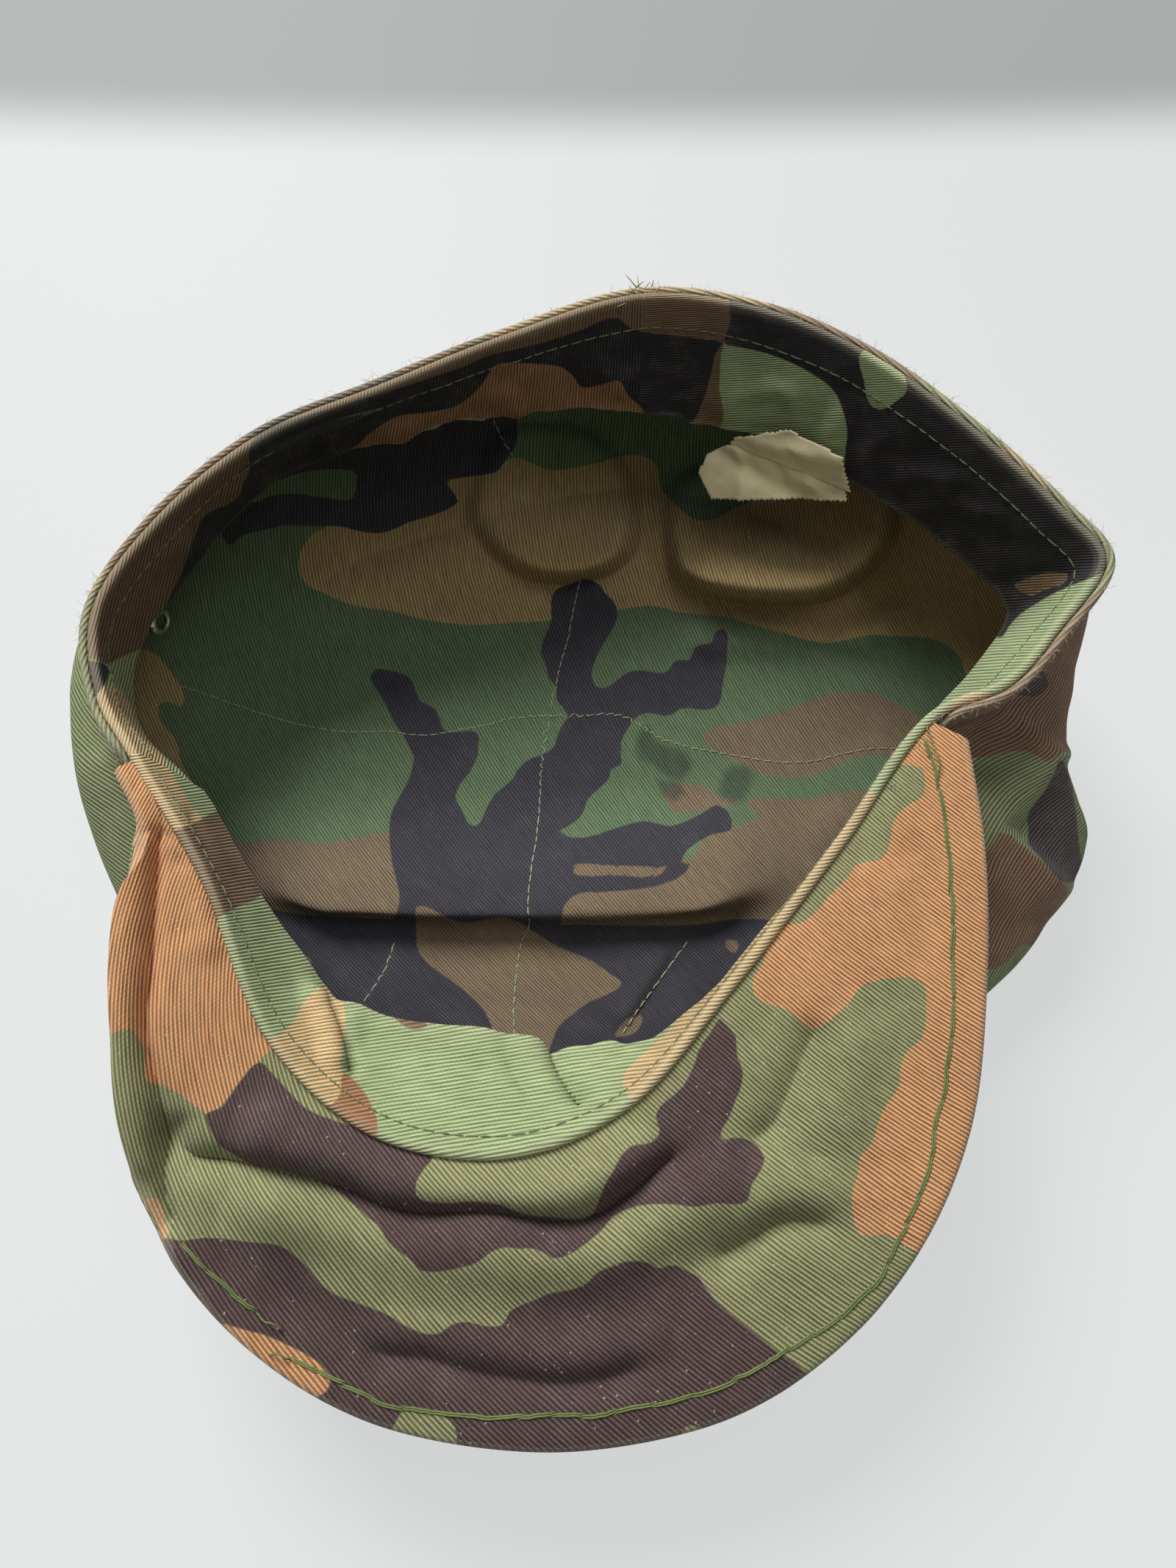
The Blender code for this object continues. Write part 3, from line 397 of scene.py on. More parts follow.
VISOR_FOLDS = [
    (-3.4, 3.2, [(-92, -91.9), (-78.8, -92.6), (-66, -95), (-54, -97.8), (-43.5, -102),
                 (-36.3, -103), (-21.7, -102.6), (-7.2, -104.7), (1.9, -103.7), (8.8, -99.4),
                 (15.7, -94.3), (22, -90.7)]),
    (4.2, 6.0, [(-80, -83), (-66, -88), (-52, -92.5), (-40, -96.5), (-26, -97.5), (-12, -98.5),
                (-2, -97), (6, -92), (14, -85)]),
    (2.8, 7, [(-80, -99), (-60, -104), (-40, -109.5), (-20, -110), (0, -112), (14, -106),
              (28, -98), (36, -93)]),
    (-2.6, 3.8, [(25.8, -112.9), (32.6, -110.8), (41.1, -105.8), (47.9, -105.1), (55.3, -107.2)]),
    (1.3, 5, [(30, -104), (40, -99), (50, -98), (60, -100)]),
    (-1.7, 3.5, [(-48.7, -130.3), (-41.6, -131.5), (-34.7, -131.8), (-27.6, -134),
                 (-17.2, -135.8), (-6.8, -137), (2.5, -136.3), (13.4, -133)]),
    (0.9, 4, [(-46, -126), (-30, -128.5), (-14, -131), (4, -130.5), (18, -127)]),
    (-2.0, 4, [(56, -60), (52, -66), (49, -72), (46, -78), (42, -85), (34, -90)]),
    (1.6, 7, [(66, -58), (62, -68), (58, -80), (52, -92)]),
    (-3.4, 2.8, [(-106.8, -11.7), (-107.2, -19.5), (-106.1, -34.5), (-104.7, -49),
                 (-104.1, -63), (-98.1, -80), (-97.5, -87.3), (-96.3, -93), (-94, -101.3),
                 (-91, -108)]),
    (1.6, 3.5, [(-112, -14), (-111, -34), (-110, -52), (-108, -68), (-104, -84), (-101, -97)]),
    (-4.2, 4.6, [(-93, -80), (-94, -89), (-92, -94)]),
    (-1.0, 4, [(-103, -18), (-99, -30), (-95, -44)]),
    (0.9, 4, [(-98, -20), (-94, -34), (-90, -48)]),
    (0.9, 9, [(-60, -114), (-40, -119), (-20, -117), (-4, -112)]),
    (-0.7, 5, [(-72, -116), (-60, -122), (-44, -127)]),
    (0.7, 6, [(70, -20), (74, -40), (74, -56)]),
    (-0.6, 5, [(80, -14), (82, -34), (80, -52)]),
    (1.2, 5, [(20, -70), (30, -58), (40, -46), (52, -34)]),
]
BAND_FOLDS = [
    (2.2, 4, [(-60, -60), (-50, -60.5), (-40, -62), (-30, -65), (-20, -68)]),
    (-1.2, 3, [(-56, -66), (-44, -68), (-32, -71), (-22, -74)]),
    (1.6, 4, [(0, -69), (8, -67.5), (16, -67)]),
    (-4.6, 2.6, [(-9, -63), (-7, -69), (-4, -75), (-1, -80)]),
    (-1.2, 1.8, [(-19, -70), (-16, -75), (-13, -79)]),
    (2.2, 4.0, [(0, -64), (4, -68), (8, -72)]),
    (-2.4, 1.8, [(-62, -58), (-58, -65), (-54.5, -73)]),
    (2.8, 2.2, [(-67, -55), (-62, -63), (-59, -73)]),
    (-1.0, 2.0, [(-101, -10), (-98, -18), (-94, -28), (-89, -40)]),
    (-1.4, 2.2, [(22, 118), (18, 126), (16, 134), (18, 142)]),
    (1.6, 3.0, [(10, 120), (8, 128), (4, 136)]),
    (-1.2, 2.4, [(-4, 119), (-8, 128), (-6, 136)]),
    (1.2, 2.6, [(-20, 116), (-22, 124), (-18, 132)]),
    (-1.2, 2.4, [(-36, 113), (-34, 122), (-26, 132)]),
    (1.3, 2.8, [(-50, 112), (-46, 120), (-38, 128)]),
    (-1.3, 2.6, [(-66, 106), (-58, 114), (-48, 122)]),
    (1.2, 2.6, [(-80, 98), (-72, 107), (-60, 116)]),
    (-1.5, 2.6, [(-92, 88), (-86, 98), (-76, 108)]),
    (1.0, 2.4, [(30, 122), (34, 132), (36, 140)]),
    (-1.8, 2.8, [(34, 112), (42, 109.5), (50, 108)]),
    (1.8, 4.0, [(42, 120), (54, 124), (64, 122)]),
    (-1.2, 2.6, [(78, 108), (80, 118), (79, 130)]),
    (1.2, 3.4, [(86, 90), (96, 94), (106, 92)]),
    (-0.9, 3.0, [(84, 98), (98, 102), (112, 98)]),
    (0.9, 3.0, [(92, 82), (104, 84), (118, 80)]),
    (-1.2, 2.6, [(104, 70), (116, 72), (128, 70)]),
    (-1.6, 2.2, [(112, 58), (122, 62), (132, 61)]),
    (-1.2, 2.4, [(-128, 42), (-120, 44), (-112, 48)]),
]

CORONAL = [
    (-118, 31), (-112, 28.7), (-105, 26), (-98, 23.5), (-90, 20.5), (-83, 18), (-75, 15.6),
    (-67, 14), (-60, 13.3), (-52, 13.5), (-46, 12.7), (-42, 12.4), (-38, 12.9), (-33, 14),
    (-28, 15), (-20, 17), (-12, 18), (-5, 18), (2, 18.3), (7, 18.2), (10, 17.4), (14, 14.8),
    (18, 11.8), (22, 10.2), (28, 8.6), (34, 7.5), (40, 6.3), (46, 5.2), (52, 4.8), (58, 5.3),
    (63, 6.6), (68, 7.8), (73, 8.7), (79, 8.6), (84, 8),
]
SAGITTAL_BACK = [
    (-2.2, 59), (-2.5, 57), (-3.5, 52), (-4.5, 46), (-5.5, 40), (-7, 34), (-8.3, 28),
    (-8.9, 24.5), (-9.6, 19.5),
]
SAGITTAL_FRONT = [
    (-10.4, 16.5), (-11.2, 10), (-11.7, 4), (-12.2, -8), (-13, -17), (-14, -24), (-14.5, -30),
    (-14.6, -34), (-14.2, -38), (-16, -42), (-17, -50), (-17.5, -58), (-17, -66),
]
DART_LINES = {
    "dart_stitch_back_left": [
        (-27.5, 113), (-25, 107), (-22, 101), (-20, 97), (-19, 93), (-18, 88), (-18.5, 83),
        (-17, 81.5),
    ],
    "dart_stitch_back_right": [(43.2, 86), (44, 78), (44.8, 71)],
    "dart_stitch_front_left": [(-46.5, -42), (-48, -48), (-50.5, -53), (-53, -57)],
    "dart_stitch_front_right": [(24, -42), (18, -50), (12, -58), (8, -64)],
}
MENDING_RUNS = [[
    (-89, -109.4), (-84.9, -113.4), (-79.4, -117.4), (-75.5, -120.6), (-71, -123.5),
], [
    (-63.1, -132.5), (-56.6, -134.6), (-53.7, -136.2), (-48, -138.6), (-43.7, -140.8),
    (-38.9, -141.7), (-34.1, -142), (-25.2, -143.2), (-15.6, -143.2), (-5.4, -142.9),
    (2.5, -143), (8.2, -141.8), (16.8, -140.5), (25.5, -138.6), (30.6, -136.6), (35.1, -134.4),
    (39.6, -132.1), (44.1, -129.8), (48.6, -127.5), (53.2, -124.8), (57.9, -121.1),
    (61.9, -118.1), (64.8, -114.9), (66.6, -111.5), (68, -108.7), (70.1, -105.8),
    (72.5, -101.6), (75.3, -96.5), (76.8, -92.8), (78.2, -87.7), (79.5, -82.5), (82, -76.4),
    (83.5, -69.7), (85.3, -62.9), (86.4, -56), (86.9, -49), (88.7, -34.5), (89.2, -24),
    (89.2, -17.9), (89.3, -7.8), (88.7, 0.2), (87.8, 5.9), (86.6, 11.6),
]]


# ---- curves and surfaces -----------------------------------------------------------------
def unit(v):
    return v / np.maximum(np.linalg.norm(v, axis=-1, keepdims=True), 1e-9)


def spline(p0, p1, p2, p3, t):
    """Centripetal Catmull-Rom points between p1 and p2."""
    a = np.maximum(np.linalg.norm(p1 - p0, axis=-1, keepdims=True), 1e-9) ** 0.5
    b = np.maximum(np.linalg.norm(p2 - p1, axis=-1, keepdims=True), 1e-9) ** 0.5
    c = np.maximum(np.linalg.norm(p3 - p2, axis=-1, keepdims=True), 1e-9) ** 0.5
    m1 = ((p1 - p0) / a - (p2 - p0) / (a + b) + (p2 - p1) / b) * b
    m2 = ((p2 - p1) / b - (p3 - p1) / (b + c) + (p3 - p2) / c) * b
    return ((2 * t ** 3 - 3 * t ** 2 + 1) * p1 + (t ** 3 - 2 * t ** 2 + t) * m1
            + (3 * t ** 2 - 2 * t ** 3) * p2 + (t ** 3 - t ** 2) * m2)


def on_loop(points, u):
    u = np.atleast_1d(u)
    i = np.floor(u).astype(int)
    corners = [points[(i + k) % len(points)] for k in (-1, 0, 1, 2)]
    return spline(*corners, (u - i)[:, None])


def padded_ends(points):
    return np.concatenate([[2 * points[0] - points[1]], points, [2 * points[-1] - points[-2]]])


def on_path(points, u):
    """Points at steps u of an open list of points."""
    u = np.atleast_1d(u)
    wide = padded_ends(points)
    i = np.clip(np.floor(u).astype(int), 0, len(points) - 2)
    return spline(wide[i], wide[i + 1], wide[i + 2], wide[i + 3], (u - i)[:, None])


def smooth_line(points, gap, closed=False):
    """The same line with points about gap apart on smooth curves."""
    points = np.array(points, float)
    if closed:
        points = np.vstack([points, points[:1]])
    lengths = np.linalg.norm(np.diff(points, axis=0), axis=1)
    steps = np.concatenate([
        i + np.arange(max(1, round(s / gap))) / max(1, round(s / gap))
        for i, s in enumerate(lengths)
    ])
    if closed:
        return on_loop(points[:-1], steps)
    return on_path(points, np.append(steps, len(points) - 1))


def ease(f):
    f = np.clip(f, 0.0, 1.0)
    return f * f * (3 - 2 * f)


def rim_outward(u):
    along = on_loop(RIM, u + 0.02) - on_loop(RIM, u - 0.02)
    flat = np.stack([along[:, 1], -along[:, 0], np.zeros(len(along))], axis=1)
    return unit(flat)


def ledge(x, y):
    """Height that the cross fold adds to the crown at a place in plan."""
    x = x + 18.0
    lip = -34.5 + 0.0006 * x ** 2
    behind = ease((lip + 34.0 - y) / 34.0)
    drop = ease((y - lip + 7.0) / 13.0)
    return LEDGE_HEIGHT * behind * drop * ease((72.0 - np.abs(x)) / 30.0)


def flat_place(points):
    """Where points lie on the flat pattern."""
    share = EYE[2] / (EYE[2] - points[..., 2:3])
    return (EYE + (points - EYE) * share)[..., :2]


def from_column(columns, column):
    """How many columns round the loop each is from one column, below 0 before it."""
    return (columns - column + COLUMNS / 2) % COLUMNS - COLUMNS / 2


def crown_rows(columns, steps):
    """The seam plane between the lining and the outer cloth: one row of points a step."""
    rim = on_loop(RIM, columns)
    belly = on_loop(BELLY, columns)
    upright = rim + rim_outward(columns) * 0.25 - np.array([0, 0, 7.0])
    base = CENTRE + (belly - CENTRE) * 0.86
    base[:, 2] = FLOOR + 0.5
    back_on = from_column(columns, 0)
    hanging = on_path(HANGING, np.clip((back_on + 2.0) / 0.4, 0, len(HANGING) - 1))
    hanging *= ((back_on > -2.0) & (back_on < 1.6))[:, None]
    belly[:, :2] += hanging
    base[:, :2] += hanging * 0.5
    rings = [CENTRE + (base - CENTRE) * f for f in (0.66, 0.33)]
    for level in rings:
        level[:, 2] = FLOOR
    centre = np.repeat(CENTRE[None], len(columns), axis=0)
    wide = padded_ends(np.array([rim, upright, belly, base, *rings, centre]))
    rows = []
    for t in steps:
        i = min(max(math.floor(t), 0), 5)
        row = spline(*wide[i:i + 4], t - i)
        row[:, 2] = FLOOR if t > 3.0 else np.maximum(row[:, 2], FLOOR)
        if t > 2.0:
            lift = ledge(row[:, 0], row[:, 1])
            share = lift / LEDGE_HEIGHT
            row[:, 1] -= 9.0 * share ** 1.6
            row[:, 2] += lift - 2.0 * share ** 6
        rows.append(row)
    return np.array(rows)


def normals_of(grid, closed):
    """Unit normals of a grid of points [row, column], out of the cap."""
    down = np.gradient(grid, axis=0)
    if closed:
        across = (np.roll(grid, -1, axis=1) - np.roll(grid, 1, axis=1)) / 2
    else:
        across = np.gradient(grid, axis=1)
    n = unit(np.cross(down, across))
    if closed:
        n[-1] = np.where(np.abs(grid[-1] - grid[-1][:1]).max() < 1e-6, [0, 0, -1.0], n[-1])
    return n


# ---- working on the flat pattern ---------------------------------------------------------
def near_line(places, line):
    """Distance of each place to a line of points, its side (1 is left) and how far along."""
    a, b = line[:-1], line[1:]
    step = b - a
    length2 = np.maximum((step ** 2).sum(1), 1e-9)
    reach = np.concatenate([[0], np.cumsum(length2 ** 0.5)])
    best = np.full(len(places), 1e9)
    side = np.ones(len(places))
    along = np.zeros(len(places))
    for k in range(len(a)):
        rel = places - a[k]
        f = np.clip((rel @ step[k]) / length2[k], 0, 1)
        d = np.hypot(rel[:, 0] - f * step[k, 0], rel[:, 1] - f * step[k, 1])
        hit = d < best
        best[hit] = d[hit]
        cross = step[k, 0] * rel[:, 1] - step[k, 1] * rel[:, 0]
        side[hit] = np.where(cross[hit] >= 0, 1.0, -1.0)
        along[hit] = (reach[k] + f * length2[k] ** 0.5)[hit]
    return best, side, along, reach[-1]


def in_reach(places, line, margin):
    low, high = line.min(0) - margin, line.max(0) + margin
    return np.where(((places > low) & (places < high)).all(1))[0]


def inside_line(places, line):
    """How far inside a closed line each place is, in mm, below 0 outside."""
    line = np.vstack([line, line[:1]])
    d = near_line(places, line)[0]
    x, y = places[:, 0], places[:, 1]
    inside = np.zeros(len(places), bool)
    for (x0, y0), (x1, y1) in zip(line[:-1], line[1:]):
        if y0 != y1:
            crosses = (y0 > y) != (y1 > y)
            inside ^= crosses & (x < (x1 - x0) * (y - y0) / (y1 - y0) + x0)
    return np.where(inside, d, -d)


def inside_by(places, outlines, reach=9.0):
    """How far inside the outlines each place is, up to reach either way."""
    result = np.full(len(places), -reach)
    for outline in outlines:
        line = smooth_line(outline, 1.6, closed=True)
        found = in_reach(places, line, reach)
        if len(found):
            result[found] = np.maximum(result[found], inside_line(places[found], line))
    return np.clip(result, -reach, reach)


def print_less(places, outlines, gaps):
    """Like inside_by, but the gaps are left unprinted."""
    return np.minimum(inside_by(places, outlines), -inside_by(places, gaps))


def relief(places, folds, laps=(), blur=1.2):
    """Height that folds and overlaps give each place. An overlap falls off to its right."""
    height = np.zeros(len(places))
    for shapes, gap, margin, lead, run in ((folds, 3.0, 3.0, 2.0, 2.0), (laps, 2.0, 2.5, 1.0, 0.6)):
        for lift, width, points in shapes:
            line = smooth_line(points, gap)
            found = in_reach(places, line, margin * width)
            if not len(found):
                continue
            d, side, along, total = near_line(places[found], line)
            ends = [ease((f + lead) / (run * width)) for f in (along, total - along)]
            raised = lift * np.exp(-(d / width) ** 2) * ends[0] * ends[1]
            if shapes is laps:
                raised = raised * ease((d * side + blur / 2) / blur)
            height[found] += raised
    return height


def soft_noise(points, size, seed, detail=0.35):
    """Smooth noise about -1 to 1 at points in mm; size is the lumps' size in mm."""
    out = np.empty(len(points))
    for i, (x, y, z) in enumerate(points / size):
        a = noise.noise(Vector((x + seed, y - seed, z)))
        b = noise.noise(Vector((2.3 * x - seed, 2.3 * y, 2.3 * z + seed)))
        out[i] = a + detail * b
    return out


def printed_at_random(points, seed, share):
    """Signed distances for print that isn't drawn: how far inside a lump each point is."""
    stretched = points * np.array([0.75, 1.0, 1.3])
    return (soft_noise(stretched, 42.0, seed) - share) * 60.0


# ---- shader maths ------------------------------------------------------------------------
class Value:
    """A number that varies over the surface; an expression on it adds Math nodes."""

    def __init__(self, board, socket):
        self.board = board
        self.socket = socket

    def _math(self, operation, *others):
        return self.board.add("ShaderNodeMath", {"operation": operation}, dict(enumerate(others)))

    def __add__(self, other):
        return self._math("ADD", self, other)

    def __radd__(self, other):
        return self._math("ADD", other, self)

    def __sub__(self, other):
        return self._math("SUBTRACT", self, other)

    def __rsub__(self, other):
        return self._math("SUBTRACT", other, self)

    def __mul__(self, other):
        return self._math("MULTIPLY", self, other)

    def __rmul__(self, other):
        return self._math("MULTIPLY", other, self)

    def __truediv__(self, other):
        return self._math("DIVIDE", self, other)

    def __rtruediv__(self, other):
        return self._math("DIVIDE", other, self)

    def at_most(self, other):
        return self._math("MINIMUM", self, other)

    def at_least(self, other):
        return self._math("MAXIMUM", self, other)

    def wave(self):
        """1 at whole numbers, 0 halfway between them and smooth."""
        return self._math("COSINE", self * (2 * math.pi)) * 0.5 + 0.5


class Board:
    """The node tree of one material."""

    def __init__(self, name):
        self.material = bpy.data.materials.new(name)
        self.material.use_nodes = True
        self.tree = self.material.node_tree
        self.tree.nodes.clear()

    def add(self, kind, settings=None, sockets=None, out=0):
        """A node of this kind: its settings first, then the values or links of its sockets."""
        node = self.tree.nodes.new(kind)
        for name, value in (settings or {}).items():
            setattr(node, name, value)
        for name, value in (sockets or {}).items():
            if isinstance(value, Value):
                self.tree.links.new(value.socket, node.inputs[name])
            else:
                node.inputs[name].default_value = value
        return Value(self, node.outputs[out]) if node.outputs else None

    def attribute(self, name, out="Fac"):
        return self.add("ShaderNodeAttribute", {"attribute_name": name}, out=out)

    def place(self):
        return self.add("ShaderNodeTexCoord", out="Object")

    def parts(self, vector):
        split = self.add("ShaderNodeSeparateXYZ", sockets={0: vector})
        return [Value(self, socket) for socket in split.socket.node.outputs]

    def step(self, value, low, high):
        """0 below low, 1 above high and smooth between."""
        return self.add("ShaderNodeMapRange", {"interpolation_type": "SMOOTHSTEP"}, {
            "Value": value, "From Min": low, "From Max": high,
        })

    def mix(self, share, first, second, blend="MIX"):
        return self.add("ShaderNodeMix", {"data_type": "RGBA", "blend_type": blend}, {
            0: share, 6: first, 7: second,
        }, out=2)

    def toned(self, colour, tone):
        """The colour times the tone."""
        grey = self.add("ShaderNodeCombineColor", sockets={0: tone, 1: tone, 2: tone})
        return self.mix(1.0, colour, grey, "MULTIPLY")

    def noise(self, place, scale, detail=2.0, roughness=0.5):
        """Noise; scale is one number, or one for each direction."""
        if isinstance(scale, tuple):
            place = self.add("ShaderNodeVectorMath", {"operation": "MULTIPLY"}, {0: place, 1: scale})
            scale = 1.0
        return self.add("ShaderNodeTexNoise", sockets={
            "Vector": place, "Scale": scale, "Detail": detail, "Roughness": roughness,
        })

    def bump(self, height, distance, strength=1.0):
        return self.add("ShaderNodeBump", sockets={
            "Strength": strength, "Distance": distance * MM, "Height": height,
        })

    def finish(self, colour, roughness, normal, **others):
        sockets = {"Base Color": colour, "Roughness": roughness, "Normal": normal}
        for name, value in others.items():
            sockets[name.replace("_", " ").title().replace("Ior", "IOR")] = value
        shader = self.add("ShaderNodeBsdfPrincipled", sockets=sockets)
        self.add("ShaderNodeOutputMaterial", sockets={0: shader})
        return self.material


def rgba(colour, factor=1.0):
    return (colour[0] * factor, colour[1] * factor, colour[2] * factor, 1.0)


def twill_material(name, base, prints, pitch, rib_depth, wear, contrast, stain=None, lint=0.0):
    """Printed cotton twill. prints are (attribute, colour) from the first printed to the last."""
    b = Board(name)
    weave = b.attribute("weave", "Vector")
    across, along, _ = b.parts(weave)
    wander = b.noise(weave, (0.11, 0.05, 1.0))
    rib = (across + wander * 1.1) / pitch
    ridge = rib.wave()
    floats = (along / (pitch * 1.15) + rib * 0.42).wave()
    thread_tone = b.noise(weave, (1.1 / pitch, 0.16, 1.0))
    fuzz = b.noise(weave, 2.6, detail=3.0, roughness=0.65)
    broad = b.noise(weave, 0.035, detail=3.0, roughness=0.6)
    patchy = b.noise(weave, 0.12, detail=4.0, roughness=0.6)
    edge = (fuzz - 0.5) * 0.9 + (ridge - 0.5) * 0.22 + (patchy - 0.5) * 0.8
    colour = rgba(base)
    for attribute, tint in prints:
        colour = b.mix(b.step(b.attribute(attribute) + edge, -0.16, 0.16), colour, rgba(tint))
    if stain:
        share = b.step(b.attribute("stain") + (fuzz - 0.5) * 2.0 + (patchy - 0.5) * 3.0, -1.6, 1.4)
        colour = b.mix(share * 0.62, colour, rgba(stain))
    # painted shade in part: each rib's groove is painted darker than its crest, with the threads' own
    # random tone on top; contrast scales this
    tone = (ridge * (floats * 0.16 + 0.84) - 0.46) * contrast + (thread_tone - 0.5) * 0.7
    tone = (tone + (broad - 0.5) * 0.35 + (fuzz - 0.5) * 0.5 + 1.0).at_least(0.16)
    colour = b.toned(colour, tone)
    pale = b.step(patchy + ridge * 0.25 + (fuzz - 0.5) * 0.8, 0.62, 1.05) * wear
    colour = b.mix(pale, colour, b.mix(0.55, colour, (0.50, 0.46, 0.36, 1.0)))
    specks = b.step(b.noise(weave, 1.1, detail=0.0), 0.80, 0.83) * lint
    colour = b.mix(specks, colour, (0.62, 0.58, 0.48, 1.0))
    worn = b.step(b.attribute("wear") + (fuzz - 0.5) * 0.7, 0.1, 1.0)
    colour = b.mix(worn * 0.5, colour, b.mix(0.6, colour, (0.55, 0.50, 0.36, 1.0)))
    height = ridge * (floats * 0.2 + 0.8) + fuzz * 0.35 + thread_tone * 0.25
    return b.finish(colour, (fuzz * 0.12 + 0.84).at_most(1.0), b.bump(height, rib_depth),
                    specular_ior_level=0.18, sheen_weight=0.06, sheen_roughness=0.6)


def thread_material(name, colour, twist=0.9):
    b = Board(name)
    strand = b.noise(b.place(), 1400.0)
    broad = b.noise(b.place(), 60.0)
    tinted = b.toned(rgba(colour), (strand - 0.5) * twist + (broad - 0.5) * 0.5 + 1.0)
    return b.finish(tinted, strand * 0.2 + 0.6, b.bump(strand, 0.08, 0.8), specular_ior_level=0.25)


def tape_material(name, colour):
    """Unprinted woven tape, crumpled and yellowed."""
    b = Board(name)
    weave = b.attribute("weave", "Vector")
    across, along, _ = b.parts(weave)
    threads = (across / 0.34).wave() * (along / 0.4).wave()
    slub = b.noise(weave, (0.25, 3.0, 1.0), detail=3.0)
    stains = b.noise(weave, 0.10, detail=4.0, roughness=0.6)
    tinted = b.mix(b.step(stains, 0.42, 0.72) * 0.55, rgba(colour), rgba(colour, 0.72))
    tinted = b.toned(tinted, (threads - 0.25) * 0.10 + (slub - 0.5) * 0.22 + 1.0)
    return b.finish(tinted, slub * 0.1 + 0.82, b.bump(threads + slub * 0.8, 0.06, 0.7),
                    specular_ior_level=0.2, sheen_weight=0.05)


def metal_material(name, colour):
    b = Board(name)
    dull = b.step(b.noise(b.place(), 320.0, detail=3.0), 0.45, 0.7)
    grain = b.noise(b.place(), 2200.0)
    tinted = b.mix(dull, rgba(colour), rgba(colour, 0.6))
    return b.finish(tinted, dull * 0.25 + 0.22, b.bump(grain, 0.03, 0.3), metallic=1.0)


def board_material(name, colour):
    """Pressed fibre stiffener."""
    b = Board(name)
    fibres = b.noise(b.place(), (900.0, 2600.0, 900.0), detail=4.0, roughness=0.7)
    broad = b.noise(b.place(), 40.0, detail=3.0)
    tinted = b.mix(b.step(fibres * 0.7 + broad * 0.3, 0.3, 0.7), rgba(colour, 0.75), rgba(colour))
    return b.finish(tinted, broad * 0.2 + 0.7, b.bump(fibres, 0.1, 0.6), specular_ior_level=0.3)


def elastic_material(name, colour):
    """Woven elastic: cords side by side under a fine braid."""
    b = Board(name)
    weave = b.attribute("weave", "Vector")
    across, along, _ = b.parts(weave)
    cords, braid = (across / 1.2).wave(), (along / 0.9).wave()
    fuzz = b.noise(weave, 2.0, detail=3.0)
    tinted = b.toned(rgba(colour), cords * 0.25 + braid * 0.12 + fuzz * 0.2 + 0.6)
    return b.finish(tinted, fuzz * 0.1 + 0.8, b.bump(cords + braid * 0.5, 0.2),
                    specular_ior_level=0.2)


def paper_material(name, floor, backdrop):
    """Pale paper: the floor, darker behind. It glows to the eye but lights nothing: painted light that
    keeps the floor evenly bright and its shadows faint.
    """
    b = Board(name)
    place = b.place()
    side, depth, _ = b.parts(place)
    rear = b.step(depth - side * side * 0.12, 0.214, 0.250)
    broad = b.noise(place, 6.0)
    pale = b.mix(broad * 0.25, rgba(floor), rgba(floor, 0.95))
    # painted shade: the floor grows darker towards the back, as the light falls off there
    pale = b.mix(b.step(depth, -0.15, 0.24) * 0.16, pale, rgba(floor, 0.5))
    tinted = b.mix(rear, pale, rgba(backdrop))
    # painted light: to camera, glossy and transmission rays the floor glows at 0.74 of its colour and
    # shows the lamps only 0.22 of it; other rays see its full colour and no glow
    rays = [b.add("ShaderNodeLightPath", out=f"Is {kind} Ray")
            for kind in ("Camera", "Glossy", "Transmission")]
    seen = (rays[0] + rays[1] + rays[2]).at_most(1.0)
    glow = b.mix(seen, (0.0, 0.0, 0.0, 1.0), b.mix(1.0, tinted, rgba((0.74,) * 3), "MULTIPLY"))
    colour = b.mix(seen, tinted, b.mix(1.0, tinted, rgba((0.22,) * 3), "MULTIPLY"))
    return b.finish(colour, broad * 0.05 + 0.55, b.bump(b.noise(place, 700.0), 0.05, 0.1),
                    emission_color=glow, emission_strength=1.0, specular_ior_level=0.2)


# ---- making meshes -----------------------------------------------------------------------
def grid_faces(rows, columns, closed):
    across = columns if closed else columns - 1
    i, j = np.meshgrid(np.arange(rows - 1), np.arange(across), indexing="ij")
    right = (j + 1) % columns
    corners = [i * columns + j, (i + 1) * columns + j, (i + 1) * columns + right, i * columns + right]
    return np.stack(corners, axis=-1).reshape(-1, 4)


def linked(name, data):
    made = bpy.data.objects.new(name, data)
    bpy.context.scene.collection.objects.link(made)
    return made


def make_object(name, points, faces, material, values=None, thick=0.0, offset=-1.0):
    """A smooth mesh; points in mm, values are numbers or vectors for each point."""
    mesh = bpy.data.meshes.new(name)
    mesh.from_pydata((points * MM).tolist(), [], faces if isinstance(faces, list) else faces.tolist())
    mesh.update()
    mesh.shade_smooth()
    for key, numbers in (values or {}).items():
        numbers = np.asarray(numbers, np.float32)
        if numbers.ndim == 2:
            flat = np.zeros((len(numbers), 3), np.float32)
            flat[:, :numbers.shape[1]] = numbers
            layer = mesh.attributes.new(key, "FLOAT_VECTOR", "POINT")
            layer.data.foreach_set("vector", flat.ravel())
        else:
            layer = mesh.attributes.new(key, "FLOAT", "POINT")
            layer.data.foreach_set("value", numbers)
    mesh.materials.append(material)
    made = linked(name, mesh)
    if thick:
        solid = made.modifiers.new("thickness", "SOLIDIFY")
        solid.thickness = thick * MM
        solid.offset = offset
    return made


def finish_piece(piece, body, nodes=()):
    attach(piece, body)
    if nodes:
        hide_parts(*nodes)
    return piece


def grid_piece(name, grid, closed, material, values, slot, nodes, **thickness):
    """A piece of the cap from a grid of points [row, column]."""
    faces = grid_faces(len(grid), grid.shape[1], closed)
    piece = make_object(name, grid.reshape(-1, 3), faces, material, values, **thickness)
    return finish_piece(piece, "cap", nodes)


